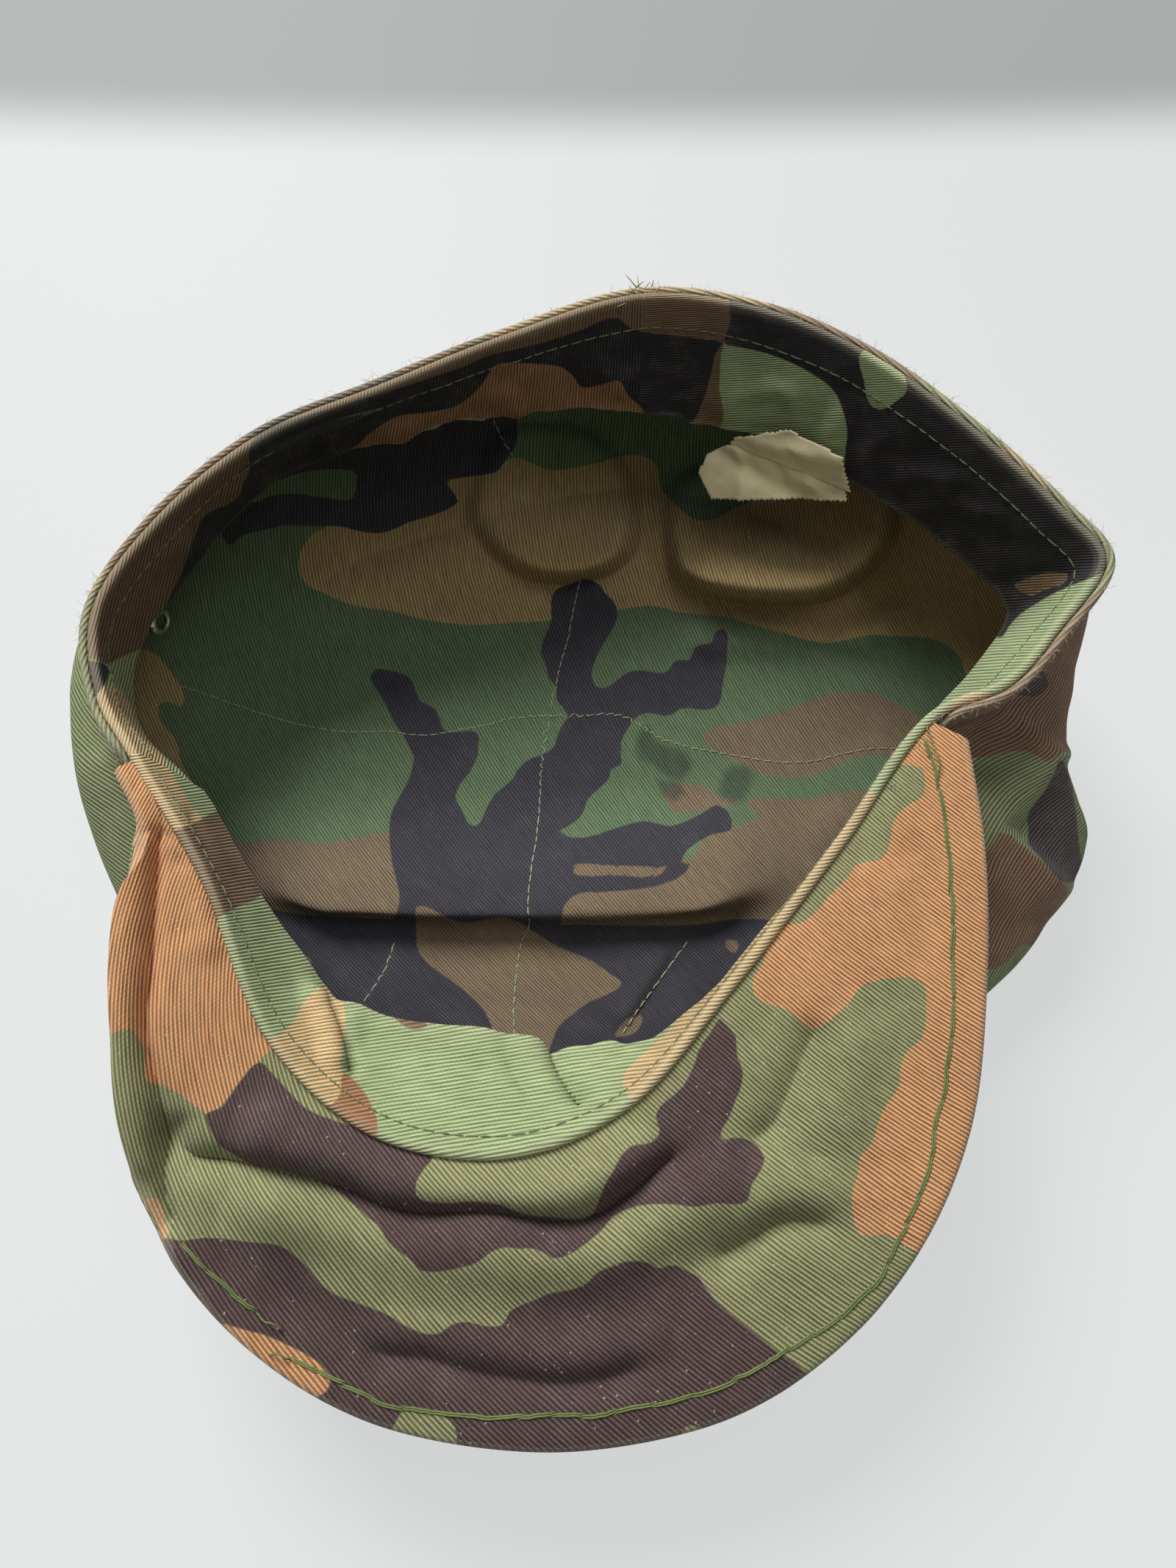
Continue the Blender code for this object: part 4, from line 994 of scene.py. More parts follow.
def thread_piece(name, parts, material, nodes=()):
    """A piece of the cap from many tubes, each (points, faces)."""
    faces, base = [], 0
    for v, f in parts:
        faces += [[i + base for i in face] for face in f]
        base += len(v)
    points = np.concatenate([v for v, f in parts])
    return finish_piece(make_object(name, points, faces, material), "cap", nodes)


def turned_weave(places, degrees):
    """Coordinates across and along ribs that run at this angle, in mm."""
    a = np.radians(degrees)
    x, y = places[:, 0], places[:, 1]
    return np.stack([-np.sin(a) * x + np.cos(a) * y, np.cos(a) * x + np.sin(a) * y], 1)


def lining_weave(places):
    """The lining's ribs lean more upright towards the back."""
    x, y = places[:, 0], places[:, 1]
    across = 0.866 * x + 0.556 * y - 0.00288 * y ** 2
    along = 0.5 * x - 0.866 * y
    return np.stack([across, along], 1)


def visor_weave(places):
    """The visor's ribs bend slowly round a far centre, and faster towards the left wing."""
    start, facing = np.array([-70.0, -104.0]), np.array([0.766, 0.643])
    result = []
    for bend in (90.0, 400.0):
        rel = places - start - facing * bend
        radius = np.hypot(rel[:, 0], rel[:, 1])
        turn = np.arctan2(facing[1] * rel[:, 0] - facing[0] * rel[:, 1], -rel @ facing)
        result.append(np.stack([bend - radius, turn * bend], 1))
    left = (result[0][:, 1] < 0)[:, None]
    return np.where(left, result[0], result[1]) / 1.07


def tube(points, radii, sides=6):
    """Vertices and faces of a closed tube along points, in mm."""
    points = np.asarray(points, float)
    along = unit(np.gradient(points, axis=0))
    reference = np.array([0.0, 0.0, 1.0])
    if abs(along[0] @ reference) > 0.9:
        reference = np.array([1.0, 0.0, 0.0])
    first = unit(np.cross(along, reference))[:, None]
    second = np.cross(along, first[:, 0])[:, None]
    angles = (np.arange(sides) * 2 * math.pi / sides)[None, :, None]
    radii = np.broadcast_to(np.asarray(radii, float), (len(points),))[:, None, None]
    around = first * np.cos(angles) + second * np.sin(angles)
    verts = (points[:, None] + around * radii).reshape(-1, 3)
    faces = grid_faces(len(points), sides, True).tolist()
    faces.append(list(range(sides)))
    faces.append(list(range(len(verts) - 1, len(verts) - 1 - sides, -1)))
    return verts, faces


def ring(profile, centre, axis, sides=40):
    """A ring turned about an axis; the profile is (radius, height) in mm."""
    turn = Vector((0, 0, 1)).rotation_difference(Vector(axis)).to_matrix()
    angles = np.arange(sides) * 2 * math.pi / sides
    verts = np.array([(r * math.cos(a), r * math.sin(a), h) for r, h in profile for a in angles])
    verts = verts @ np.array(turn).T + centre
    faces = grid_faces(len(profile), sides, True).tolist()
    last = (len(profile) - 1) * sides
    faces += [[last + j, j, (j + 1) % sides, last + (j + 1) % sides] for j in range(sides)]
    return verts, faces


def reach_along(line):
    """How far along a line of points each of them is."""
    return np.concatenate([[0], np.cumsum(np.linalg.norm(np.diff(line, axis=0), axis=1))])


def at_reach(wanted, reach, line):
    return np.stack([np.interp(wanted, reach, line[:, k]) for k in range(line.shape[1])], axis=1)


def by_length(line, gap):
    """Points gap apart along a line of points."""
    reach = reach_along(line)
    return at_reach(np.linspace(0, reach[-1], max(2, round(reach[-1] / gap) + 1)), reach, line)


def stitch_run(line, normals, stitch, gap, radius, rise, rng, sway=0.0, strands=1):
    """Separate stitches along a line on cloth: each arches out of the cloth and back in."""
    reach = reach_along(line)
    arch = np.sin(np.linspace(0, math.pi, 7)) ** 0.5
    parts, start = [], 0.0
    while start < reach[-1] - stitch * 0.4:
        length = stitch * rng.uniform(0.8, 1.25)
        ends = np.linspace(start, min(start + length, reach[-1]), 7)
        centre = at_reach(ends, reach, line)
        up = unit(at_reach(ends, reach, normals))
        side = unit(np.cross(unit(np.gradient(centre, axis=0)), up))
        slant = rng.uniform(-sway, sway)
        for strand in range(strands):
            apart = (strand - (strands - 1) / 2) * radius * 1.9
            lean = np.linspace(-slant, slant, 7)[:, None] + apart + rng.uniform(-0.1, 0.1) * sway
            path = centre + up * (rise * arch[:, None] - radius * 0.4) + side * lean
            parts.append(tube(path, radius * (0.55 + 0.45 * arch)))
        start += length + gap * rng.uniform(0.6, 1.4)
    return parts


# ---- the cap's cloth surfaces ------------------------------------------------------------
COLUMN_STEPS = 24  # columns of the grid for each of the outline's
BAND_ROWS = 34
FOLD_STEPS = 7  # rows round a folded edge
LINING_INSET, OUTER_OUTSET = 0.5, 0.75  # of each cloth from the plane between them
BAND_FOLD, FACING_FOLD = 0.6, 1.5  # radius of the free edge of the band, and of the facing
CROWN_STEPS = np.concatenate([
    np.linspace(0, 1, 8)[:-1], np.linspace(1, 2, 24)[:-1], np.linspace(2, 3, 28)[:-1],
    np.linspace(3, 4, 26)[:-1], np.linspace(4, 5, 24)[:-1], np.linspace(5, 6, 16),
])


def lifted(grid, way, move):
    """A grid moved some way, kept above the floor: points and new normals."""
    move = move.reshape(grid.shape[:2])[..., None]
    move[-1] = move[-1].mean()
    grid = grid + way * move
    grid[..., 2] -= np.minimum(grid[..., 2] - FLOOR + 0.15, 0)
    return grid, normals_of(grid, True)


@functools.lru_cache(None)
def crown_cloth():
    """The plane between lining and outer cloth, folded as the outer cloth is, then as the
    lining is: points [row, column] and normals of each."""
    columns = np.arange(COLUMNS * COLUMN_STEPS) / COLUMN_STEPS
    grid = crown_rows(columns, CROWN_STEPS)
    shape = grid.shape[:2]
    n = normals_of(grid, True)
    places = flat_place(grid).reshape(-1, 2)
    rows = np.repeat(CROWN_STEPS, shape[1])
    u = np.tile(columns, shape[0])
    inner = relief(places, LINING_FOLDS, LINING_LAPS) * ease((rows - 1.25) / 0.6)
    shoulder = (0.3 + 0.7 * ease((98.0 - places[:, 1]) / 46.0)) * ease((rows - 1.5) / 0.7)
    for lift, slope, outline in LINING_PADS:
        inner += lift * shoulder * ease((inside_by(places, [outline], 14.0) + 1.5) / slope)
    right = ((u < 4.5) | (u > 20.5)) & (rows > 0.4) & (rows < 3.0)
    left = (u > 11.5) & (u < 16.5) & (rows > 0.4) & (rows < 2.6)
    outer = relief(places, OUTSIDE_FOLDS, OUTSIDE_LAPS, 4.0) * ease((rows - 0.4) / 0.6)
    outer = outer * (right | left) * ease((3.0 - rows) / 0.4)
    waves = soft_noise(grid.reshape(-1, 3), 26.0, 3.0) * 0.9 * ease((rows - 0.8) / 1.0)
    outside = lifted(grid, n, outer + waves - np.minimum(inner, 0.0))
    return outside, lifted(outside[0], unit(EYE - outside[0]), np.maximum(inner, 0.0))


def crown_row(step):
    return int(np.argmin(np.abs(CROWN_STEPS - step)))


def column_range(start, end):
    """Indexes of the grid's columns from start to end, which may be below 0."""
    first, last = round(start * COLUMN_STEPS), round(end * COLUMN_STEPS)
    return np.arange(first, last + 1) % (COLUMNS * COLUMN_STEPS)


def band_cloth(start, end):
    """The sweatband's middle surface between two columns: points and inward normals."""
    columns = np.arange(round(start * COLUMN_STEPS), round(end * COLUMN_STEPS) + 1) / COLUMN_STEPS
    top = on_loop(RIM, columns) - rim_outward(columns) * 1.3
    edge = on_loop(BAND_EDGE, columns)
    w = np.linspace(0, 1, BAND_ROWS)[:, None, None]
    grid = top[None] + (edge - top)[None] * w
    n = -normals_of(grid, False)
    places = flat_place(grid).reshape(-1, 2)
    shape = grid.shape[:2]
    share = np.repeat(w.ravel(), shape[1])
    u = np.tile(columns, BAND_ROWS)
    gathered = ease((u - 4.0) / 2.0) * ease((13.0 - u) / 1.5) * ease((share - 0.15) / 0.5)
    waves = soft_noise(np.stack([u * 24, share * 12, u * 0], 1), 7.0, 5.0) * 2.4 * gathered
    drift = soft_noise(grid.reshape(-1, 3), 16.0, 9.0) * 0.8 * ease(share / 0.4)
    move = relief(places, BAND_FOLDS) * ease((share - 0.08) / 0.25) + waves + drift
    shallow = 1.0 - 0.7 * ease((14.6 - u) / 1.2) * ease(u / 1.0)
    move = np.where(move < 0, move * shallow, move)
    grid = grid + n * move.reshape(shape)[..., None]
    sag = soft_noise(np.stack([u * 24, u * 0, u * 0], 1), 14.0, 12.0) * gathered * 1.6
    grid[..., 2] += sag.reshape(shape)
    return grid, -normals_of(grid, False)


def hemmed(grid, n, top, bottom, hem_rows):
    """A cloth folded double: hem behind, over the top, down the face, and under the free edge.
    top and bottom are the radii of the folds. Returns rows of points, and how near a folded
    edge each point is."""
    folds = np.radians(np.linspace(160, 20, FOLD_STEPS))
    rows, edges = [], []
    for k in range(hem_rows, -1, -1):
        rows.append(grid[k] - n[k] * top)
        edges.append(0.0)
    for a in folds:
        rows.append(grid[0] + (n[0] * math.cos(a) + unit(grid[0] - grid[1]) * math.sin(a)) * top)
        edges.append(math.sin(a))
    last = len(grid) - 1
    for k in range(last + 1):
        rows.append(grid[k] + n[k] * (top + (bottom - top) * k / last))
        edges.append(max(0.0, 1 - k * 0.5, 1 - (last - k) * 0.4) * 0.5)
    for a in folds[::-1]:
        rows.append(grid[-1] + (n[-1] * math.cos(a) + unit(grid[-1] - grid[-2]) * math.sin(a)) * bottom)
        edges.append(math.sin(a) * 0.7)
    for k in range(last, last - hem_rows, -1):
        rows.append(grid[k] - n[k] * bottom)
        edges.append(0.0)
    rows = np.array(rows)
    return rows, np.repeat(edges, rows.shape[1])


@functools.lru_cache(None)
def visor_cloth():
    """The visor's middle surface from the seam to its edge: points and upward normals."""
    columns = np.linspace(LEFT_ROOT + 0.03, RIGHT_ROOT - 0.03, 300)
    inner = on_loop(RIM, columns) + rim_outward(columns) * -0.5 - np.array([0, 0, 1.3])
    outer = on_path(VISOR_EDGE, (columns - LEFT_ROOT) * 2)
    b = np.linspace(0, 1, 60)[:, None, None]
    grid = inner[None] + (outer - inner)[None] * b
    n = normals_of(grid, False)
    n = np.where(n[..., 2:] < 0, -n, n)
    shape = grid.shape[:2]
    places = flat_place(grid).reshape(-1, 2)
    share = np.repeat(np.linspace(0, 1, 60), shape[1])
    waves = soft_noise(grid.reshape(-1, 3), 30.0, 21.0) * 0.7
    move = (relief(places, VISOR_FOLDS) * 1.3 + waves) * ease(share / 0.14)
    move *= ease((1.0 - share) / 0.08 + 0.25)
    grid = grid + n * move.reshape(shape)[..., None]
    n = normals_of(grid, False)
    return grid, np.where(n[..., 2:] < 0, -n, n)


def row_at(grid, reach):
    """One point of every column of a grid, each at its own place down the rows."""
    low = np.clip(np.floor(reach).astype(int), 0, len(grid) - 2)
    k = np.arange(grid.shape[1])
    share = (reach - low)[:, None]
    return grid[low, k] * (1 - share) + grid[low + 1, k] * share


def on_cloth(places, points, n, lift):
    """Points of the cloth, and normals, under places on the flat pattern."""
    flat = flat_place(points)
    found, normal = [], []
    for place in places:
        d = ((flat - place) ** 2).sum(1)
        best = np.argpartition(d, 4)[:4]
        w = 1 / (d[best] + 0.05)
        w /= w.sum()
        m = unit((n[best] * w[:, None]).sum(0))
        found.append((points[best] * w[:, None]).sum(0) + m * lift)
        normal.append(m)
    return np.array(found), np.array(normal)


# ---- settings ----------------------------------------------------------------------------
def colour_setting(name, description, value):
    return bpy.props.FloatVectorProperty(
        name=name, description=description, default=value, subtype="COLOR", size=3, min=0, max=1)


def length_setting(name, description, value):
    return bpy.props.FloatProperty(
        name=name, description=description, default=value, unit="LENGTH", subtype="DISTANCE",
        min=0.00001, precision=5)


class FieldCapSizes(bpy.types.PropertyGroup):
    rib_pitch: length_setting("Rib pitch", "From one twill rib to the next", 0.00086)
    lining_pitch: length_setting("Lining rib pitch", "The lining's finer twill", 0.00078)
    rim_fold: length_setting("Rim fold", "Radius of the folded edge round the opening", 0.0011)
    visor_fold: length_setting("Visor fold", "Radius of the visor's folded edge", 0.0017)
    machine_thread: length_setting("Machine thread", "Thickness of the machine stitching", 0.00036)
    machine_stitch: length_setting("Machine stitch", "Length of a machine stitch", 0.0024)
    mending_thread: length_setting("Mending thread", "Thickness of a strand of it", 0.0004)
    mending_stitch: length_setting("Mending stitch", "Length of a hand stitch", 0.0075)
    eyelet_flange: length_setting("Eyelet flange", "Diameter of a vent eyelet", 0.0072)
    eyelet_bore: length_setting("Eyelet bore", "Diameter of the hole through it", 0.0034)


class FieldCapColours(bpy.types.PropertyGroup):
    lining_green: colour_setting("Lining green", "Ground of the lining", (0.112, 0.165, 0.090))
    lining_brown: colour_setting("Lining brown", "Second print of the lining", (0.180, 0.134, 0.086))
    lining_tan: colour_setting("Lining tan", "Third print of the lining", (0.350, 0.250, 0.112))
    # the lining's blue-black print, also the colour of the painted shade below the crown's fold
    lining_black_and_shade: colour_setting("Lining black", "Last print, a blue-black", (0.045, 0.043, 0.054))
    black: colour_setting("Black", "Last print of the sweatband", (0.026, 0.022, 0.026))
    band_green: colour_setting("Band green", "Ground of the sweatband", (0.320, 0.390, 0.200))
    band_brown: colour_setting("Band brown", "Second print of the sweatband", (0.190, 0.115, 0.065))
    band_tan: colour_setting("Band tan", "Third print of the sweatband", (0.560, 0.400, 0.200))
    rust: colour_setting("Rust", "Where the brown print lies over tan", (0.330, 0.165, 0.080))
    olive: colour_setting("Olive", "Ground of the visor's underside", (0.260, 0.265, 0.130))
    orange: colour_setting("Orange", "Tan print of the visor's underside", (0.560, 0.285, 0.130))
    purple_brown: colour_setting("Purple-brown", "Brown print of the visor", (0.092, 0.058, 0.056))
    outer_green: colour_setting("Outer green", "Ground of the outer cloth", (0.205, 0.235, 0.115))
    outer_brown: colour_setting("Outer brown", "Brown print of the outer cloth", (0.210, 0.125, 0.075))
    outer_tan: colour_setting("Outer tan", "Tan print of the outer cloth", (0.400, 0.300, 0.160))
    outer_black: colour_setting("Outer black", "Black print, washed out", (0.080, 0.066, 0.062))
    machine_thread: colour_setting("Machine thread", "Pale green stitching", (0.330, 0.370, 0.240))
    topstitch: colour_setting("Topstitching", "Olive stitching of the band", (0.180, 0.200, 0.110))
    mending: colour_setting("Mending thread", "Green hand mending", (0.170, 0.215, 0.075))
    label: colour_setting("Label", "Unprinted tape", (0.800, 0.700, 0.430))
    nickel: colour_setting("Nickel", "Vent eyelets", (0.78, 0.78, 0.76))
    elastic: colour_setting("Elastic", "Elastic behind the band", (0.62, 0.60, 0.54))
    stiffener: colour_setting("Stiffener", "Board inside the visor", (0.42, 0.36, 0.26))
    floor: colour_setting("Floor", "Paper that the cap lies on", (0.80, 0.82, 0.82))
    backdrop: colour_setting("Backdrop", "Behind the floor", (0.385, 0.40, 0.40))


def sizes():
    return bpy.context.scene.field_cap_sizes


def colours():
    return bpy.context.scene.field_cap_colours


def outer_cloth_values(points, tan_drawn):
    """Print of the outer cloth: drawn where the cap shows it from the front, else lumps."""
    places = flat_place(points)
    seen = inside_by(places, OUTSIDE_SEEN)
    values = {}
    for name, outlines, seed, share in (("brown", OUTSIDE_BROWN, 11.0, 0.06),
                                        ("black", OUTSIDE_BLACK, 37.0, 0.24),
                                        ("tan", OUTSIDE_TAN, 23.0, 0.20)):
        drawn = inside_by(places, outlines) if tan_drawn or name != "tan" else -9.0
        values[name] = np.maximum(np.minimum(printed_at_random(points, seed, share), -seen), drawn)
    return values


def wall_weave(grid, degrees):
    """Ribs on an upright wall, from lengths round it and down it."""
    x = np.tile(reach_along(grid[len(grid) // 2]), len(grid))
    steps = np.linalg.norm(np.diff(grid, axis=0), axis=2)
    down = np.vstack([np.zeros(grid.shape[1]), np.cumsum(steps, axis=0)])
    return turned_weave(np.stack([x, -down.ravel()], 1), degrees)


class FIELDCAP_OT_lining(bpy.types.Operator):
    """Makes the printed lining over the whole inside."""
    bl_idname = "fieldcap.lining"
    bl_label = "Lining"

    def execute(self, context):
        c = colours()
        grid, n = crown_cloth()[1]
        rows = np.arange(crown_row(0.3), len(CROWN_STEPS))
        grid = grid[rows] - n[rows] * LINING_INSET
        places = flat_place(grid).reshape(-1, 2)
        values = {
            "weave": lining_weave(places),
            # the black holds print and painted shade: the shadow below the fold's lip is printed black
            "black": print_less(places, LINING_BLACK_AND_SHADE, LINING_NOT_BLACK),
            "brown": inside_by(places, LINING_BROWN),
            "tan": inside_by(places, LINING_TAN),
            "stain": inside_by(places, STAIN),
            "wear": np.zeros(len(places)),
        }
        material = twill_material(
            "lining_twill_printed", c.lining_green,
            [("tan", c.lining_tan), ("brown", c.lining_brown), ("black", c.lining_black_and_shade)],
            sizes().lining_pitch / MM, rib_depth=0.12, wear=0.10, contrast=0.95,
            stain=(0.035, 0.045, 0.035))
        piece = grid_piece("lining", grid, True, material, values, "lining_twill", ["crown_lining"])
        return {"FINISHED"}


class FIELDCAP_OT_outside(bpy.types.Operator):
    """Makes the two outer side walls and the collapsed crown top."""
    bl_idname = "fieldcap.outside"
    bl_label = "Outer cloth"

    def execute(self, context):
        c = colours()
        grid, n = crown_cloth()[0]
        fold = sizes().rim_fold / MM * 0.8
        material = twill_material(
            "outer_twill_printed", c.outer_green,
            [("tan", c.outer_tan), ("brown", c.outer_brown), ("black", c.outer_black)],
            sizes().rib_pitch / MM, rib_depth=0.18, wear=0.4, contrast=1.2)
        seam = crown_row(SEAM_STEP)
        steps, hem = CROWN_STEPS[:seam + 1], 5
        spans = {
            "outer_wall_right": (FRONT_SEAM - COLUMNS, BACK_SEAM, "side_wall_right", 8.0),
            "outer_wall_left": (BACK_SEAM, FRONT_SEAM, "side_wall_left", 25.0),
        }
        for name, (start, end, node, ribs) in spans.items():
            columns = column_range(start, end)
            wall, m = grid[:seam + 1, columns], -n[:seam + 1, columns]
            wall = wall - m * OUTER_OUTSET
            front = np.abs(from_column(columns / COLUMN_STEPS, FRONT_SEAM))
            under_visor = ease((4.3 - front) / 0.5)[None, :] * ease(1.6 - steps[:, None])
            wall[..., 2] -= under_visor * 3.4
            rows, edges = hemmed(wall, m, fold, 0.5, hem)
            rows = rows[:-FOLD_STEPS - hem]  # the lower edge lies flat in the seam
            points = rows.reshape(-1, 3)
            values = outer_cloth_values(points, True)
            plain = crown_rows(columns / COLUMN_STEPS, steps)
            plain = hemmed(plain, -normals_of(plain, False), fold, 0.5, hem)[0]
            values["weave"] = wall_weave(plain[:len(rows)], ribs)
            values["wear"] = edges[:len(points)]
            piece = grid_piece(name, rows, False, material, values, "outer_twill", [node])
        crown = grid[seam:] + n[seam:] * OUTER_OUTSET
        points = crown.reshape(-1, 3)
        values = outer_cloth_values(points, False)
        values["weave"] = turned_weave(points[:, :2], -35.0)
        values["wear"] = np.zeros(len(points))
        piece = grid_piece("crown_outer", crown, True, material, values, "crown_twill", ["crown_top"])
        return {"FINISHED"}


class FIELDCAP_OT_sweatbands(bpy.types.Operator):
    """Makes the sweatband's three lengths, each of cloth folded double."""
    bl_idname = "fieldcap.sweatbands"
    bl_label = "Sweatbands"

    def execute(self, context):
        c = colours()
        fold = sizes().rim_fold / MM
        material = twill_material(
            "band_twill_printed", c.band_green,
            [("tan", c.band_tan), ("brown", c.band_brown), ("rust", c.rust), ("black", c.black)],
            sizes().rib_pitch / MM, rib_depth=0.18, wear=0.3, contrast=1.15)
        spans = {
            "band_right": (RIGHT_ROOT - COLUMNS, BACK_SEAM, "sweatband_right", 4.0, BAND_FOLD,
                           (0.165, 0.045)),
            "band_left": (BACK_SEAM, LEFT_ROOT, "sweatband_left", 86.0, BAND_FOLD, (0.18, 0.043)),
            "band_front": (LEFT_ROOT, RIGHT_ROOT, "sweatband_front", 9.0, FACING_FOLD, (0.2, 0.05)),
        }
        for name, (start, end, node, ribs, free_fold, size) in spans.items():
            rows, edges = hemmed(*band_cloth(start, end), fold, free_fold, 6)
            places = flat_place(rows).reshape(-1, 2)
            values = {
                "weave": turned_weave(places, ribs),
                "black": print_less(places, BAND_BLACK, BAND_NOT_BLACK),
                "brown": inside_by(places, BAND_BROWN),
                "rust": inside_by(places, BAND_RUST),
                "tan": inside_by(places, BAND_TAN),
                "wear": edges,
            }
            piece = grid_piece(name, rows, False, material, values, "band_twill", [node])
        return {"FINISHED"}


class FIELDCAP_OT_elastic(bpy.types.Operator):
    """Makes the gathering elastic behind the back of the sweatband."""
    bl_idname = "fieldcap.elastic"
    bl_label = "Back elastic"

    def execute(self, context):
        grid, n = band_cloth(5.0, 11.5)
        rows_per_mm = (BAND_ROWS - 1) / np.linalg.norm(grid[-1] - grid[0], axis=1)
        strip = np.array([
            row_at(grid, d * rows_per_mm) - row_at(n, d * rows_per_mm) * 0.75
            for d in np.linspace(14.0, 27.0, 14)])
        x = np.tile(reach_along(strip[0]), len(strip))
        y = np.repeat(np.linspace(0, 14, len(strip)), strip.shape[1])
        material = elastic_material("woven_elastic", colours().elastic)
        piece = grid_piece("elastic_strip", strip, False, material, {"weave": np.stack([y, x], 1)},
                           "elastic", ["back_elastic"], thick=0.7)
        return {"FINISHED"}


class FIELDCAP_OT_visor(bpy.types.Operator):
    """Makes the visor: the printed cover underneath, the stiffener and the upper cover."""
    bl_idname = "fieldcap.visor"
    bl_label = "Visor"

    def execute(self, context):
        c = colours()
        grid, n = visor_cloth()
        width = np.linalg.norm(np.diff(grid, axis=0), axis=2).sum(0)
        radius = np.minimum(sizes().visor_fold / MM, width * 0.4)
        reach = (len(grid) - 1) * (1 - radius / width)
        centre, up = row_at(grid, reach), row_at(n, reach)
        out = unit(grid[-1] - centre)
        covers = []
        for side, start, steps, worn in ((1, 14, 7, 0.5), (-1, 168, 6, 0.4)):
            rows = []
            for share in np.linspace(0, 1, len(grid)):
                half = radius * (0.6 + 0.4 * ease(share / 0.2)) * side
                rows.append(row_at(grid, reach * share) + row_at(n, reach * share) * half[:, None])
            for a in np.radians(np.linspace(start, 100, steps)):
                rows.append(centre + (up * math.cos(a) + out * math.sin(a)) * radius[:, None])
            wear = np.concatenate([np.zeros(len(grid)), np.linspace(worn, 1, steps)])
            covers.append((np.array(rows), np.repeat(wear, grid.shape[1])))
        material = twill_material(
            "visor_twill_printed", c.olive, [("tan", c.orange), ("brown", c.purple_brown)],
            sizes().rib_pitch / MM, rib_depth=0.2, wear=0.3, contrast=1.15, lint=0.5)
        rows, wear = covers[0]
        places = flat_place(rows).reshape(-1, 2)
        values = {
            "weave": visor_weave(places),
            "tan": inside_by(places, VISOR_ORANGE),
            "brown": print_less(places, VISOR_BROWN, VISOR_NOT_BROWN),
            "wear": wear,
        }
        piece = grid_piece("visor_underside", rows, False, material, values, "visor_twill",
                           ["visor_under_cover"])
        rows, wear = covers[1]
        points = rows.reshape(-1, 3)
        values = outer_cloth_values(points + np.array([0, 0, 40.0]), False)
        values["weave"] = turned_weave(points[:, :2], -40.0)
        values["wear"] = wear
        outer = bpy.data.materials.get("outer_twill_printed") or material
        piece = grid_piece("visor_upper", rows, False, outer, values, "visor_twill",
                           ["visor_top_cover"])
        columns = slice(38, 282)
        rows = np.array([row_at(grid, reach * f)[columns] for f in np.linspace(0.06, 0.92, 52)])
        grid_piece("stiffener", rows, False, board_material("pressed_board", c.stiffener), {},
                   "visor_board", ["visor_board"], thick=1.0, offset=0.0)
        return {"FINISHED"}


def lining_surface():
    """The face of the lining: points, and normals into the cap."""
    grid, n = crown_cloth()[1]
    rows = slice(crown_row(1.2), None)
    return (grid[rows] - n[rows] * LINING_INSET).reshape(-1, 3), -n[rows].reshape(-1, 3)


class FIELDCAP_OT_stitching(bpy.types.Operator):
    """Makes the machine stitching of the lining, its darts and the sweatband."""
    bl_idname = "fieldcap.stitching"
    bl_label = "Machine stitching"

    def execute(self, context):
        rng = random.Random(4)
        c = colours()
        radius = sizes().machine_thread / MM / 2
        stitch = sizes().machine_stitch / MM
        fold = sizes().rim_fold / MM
        pale = thread_material("pale_cotton_thread", c.machine_thread)
        olive = thread_material("olive_cotton_thread", c.topstitch)
        points, n = lining_surface()
        lines = {"coronal_stitch": CORONAL, "sagittal_stitch_back": SAGITTAL_BACK,
                 "sagittal_stitch_front": SAGITTAL_FRONT, **DART_LINES}
        for node, places in lines.items():
            line = by_length(smooth_line(places, 1.0), 0.8)
            on, up = on_cloth(line, points, n, 0.0)
            parts = stitch_run(on, up, stitch, 0.35, radius, radius * 1.3, rng)
            name = "quilting_" + node.replace("_stitch", "")
            thread_piece(name, parts, pale, [node])
        for name, node, start, end, depth, free_fold in (
                ("band_topstitching", "rim_topstitch", 0.1, 14.9, 6.6, BAND_FOLD),
                ("facing_topstitching", "front_topstitch", 15.1, 22.9, 3.2, FACING_FOLD)):
            grid, n = band_cloth(start, end)
            share = np.clip(depth / np.linalg.norm(grid[-1] - grid[0], axis=1), 0, 1)
            row = share * (BAND_ROWS - 1)
            up = unit(row_at(n, row))
            line = row_at(grid, row) + up * (fold + (free_fold - fold) * share[:, None])
            parts = stitch_run(line, up, stitch, 0.4, radius, radius * 1.2, rng)
            thread_piece(name, parts, olive, [node])
        return {"FINISHED"}


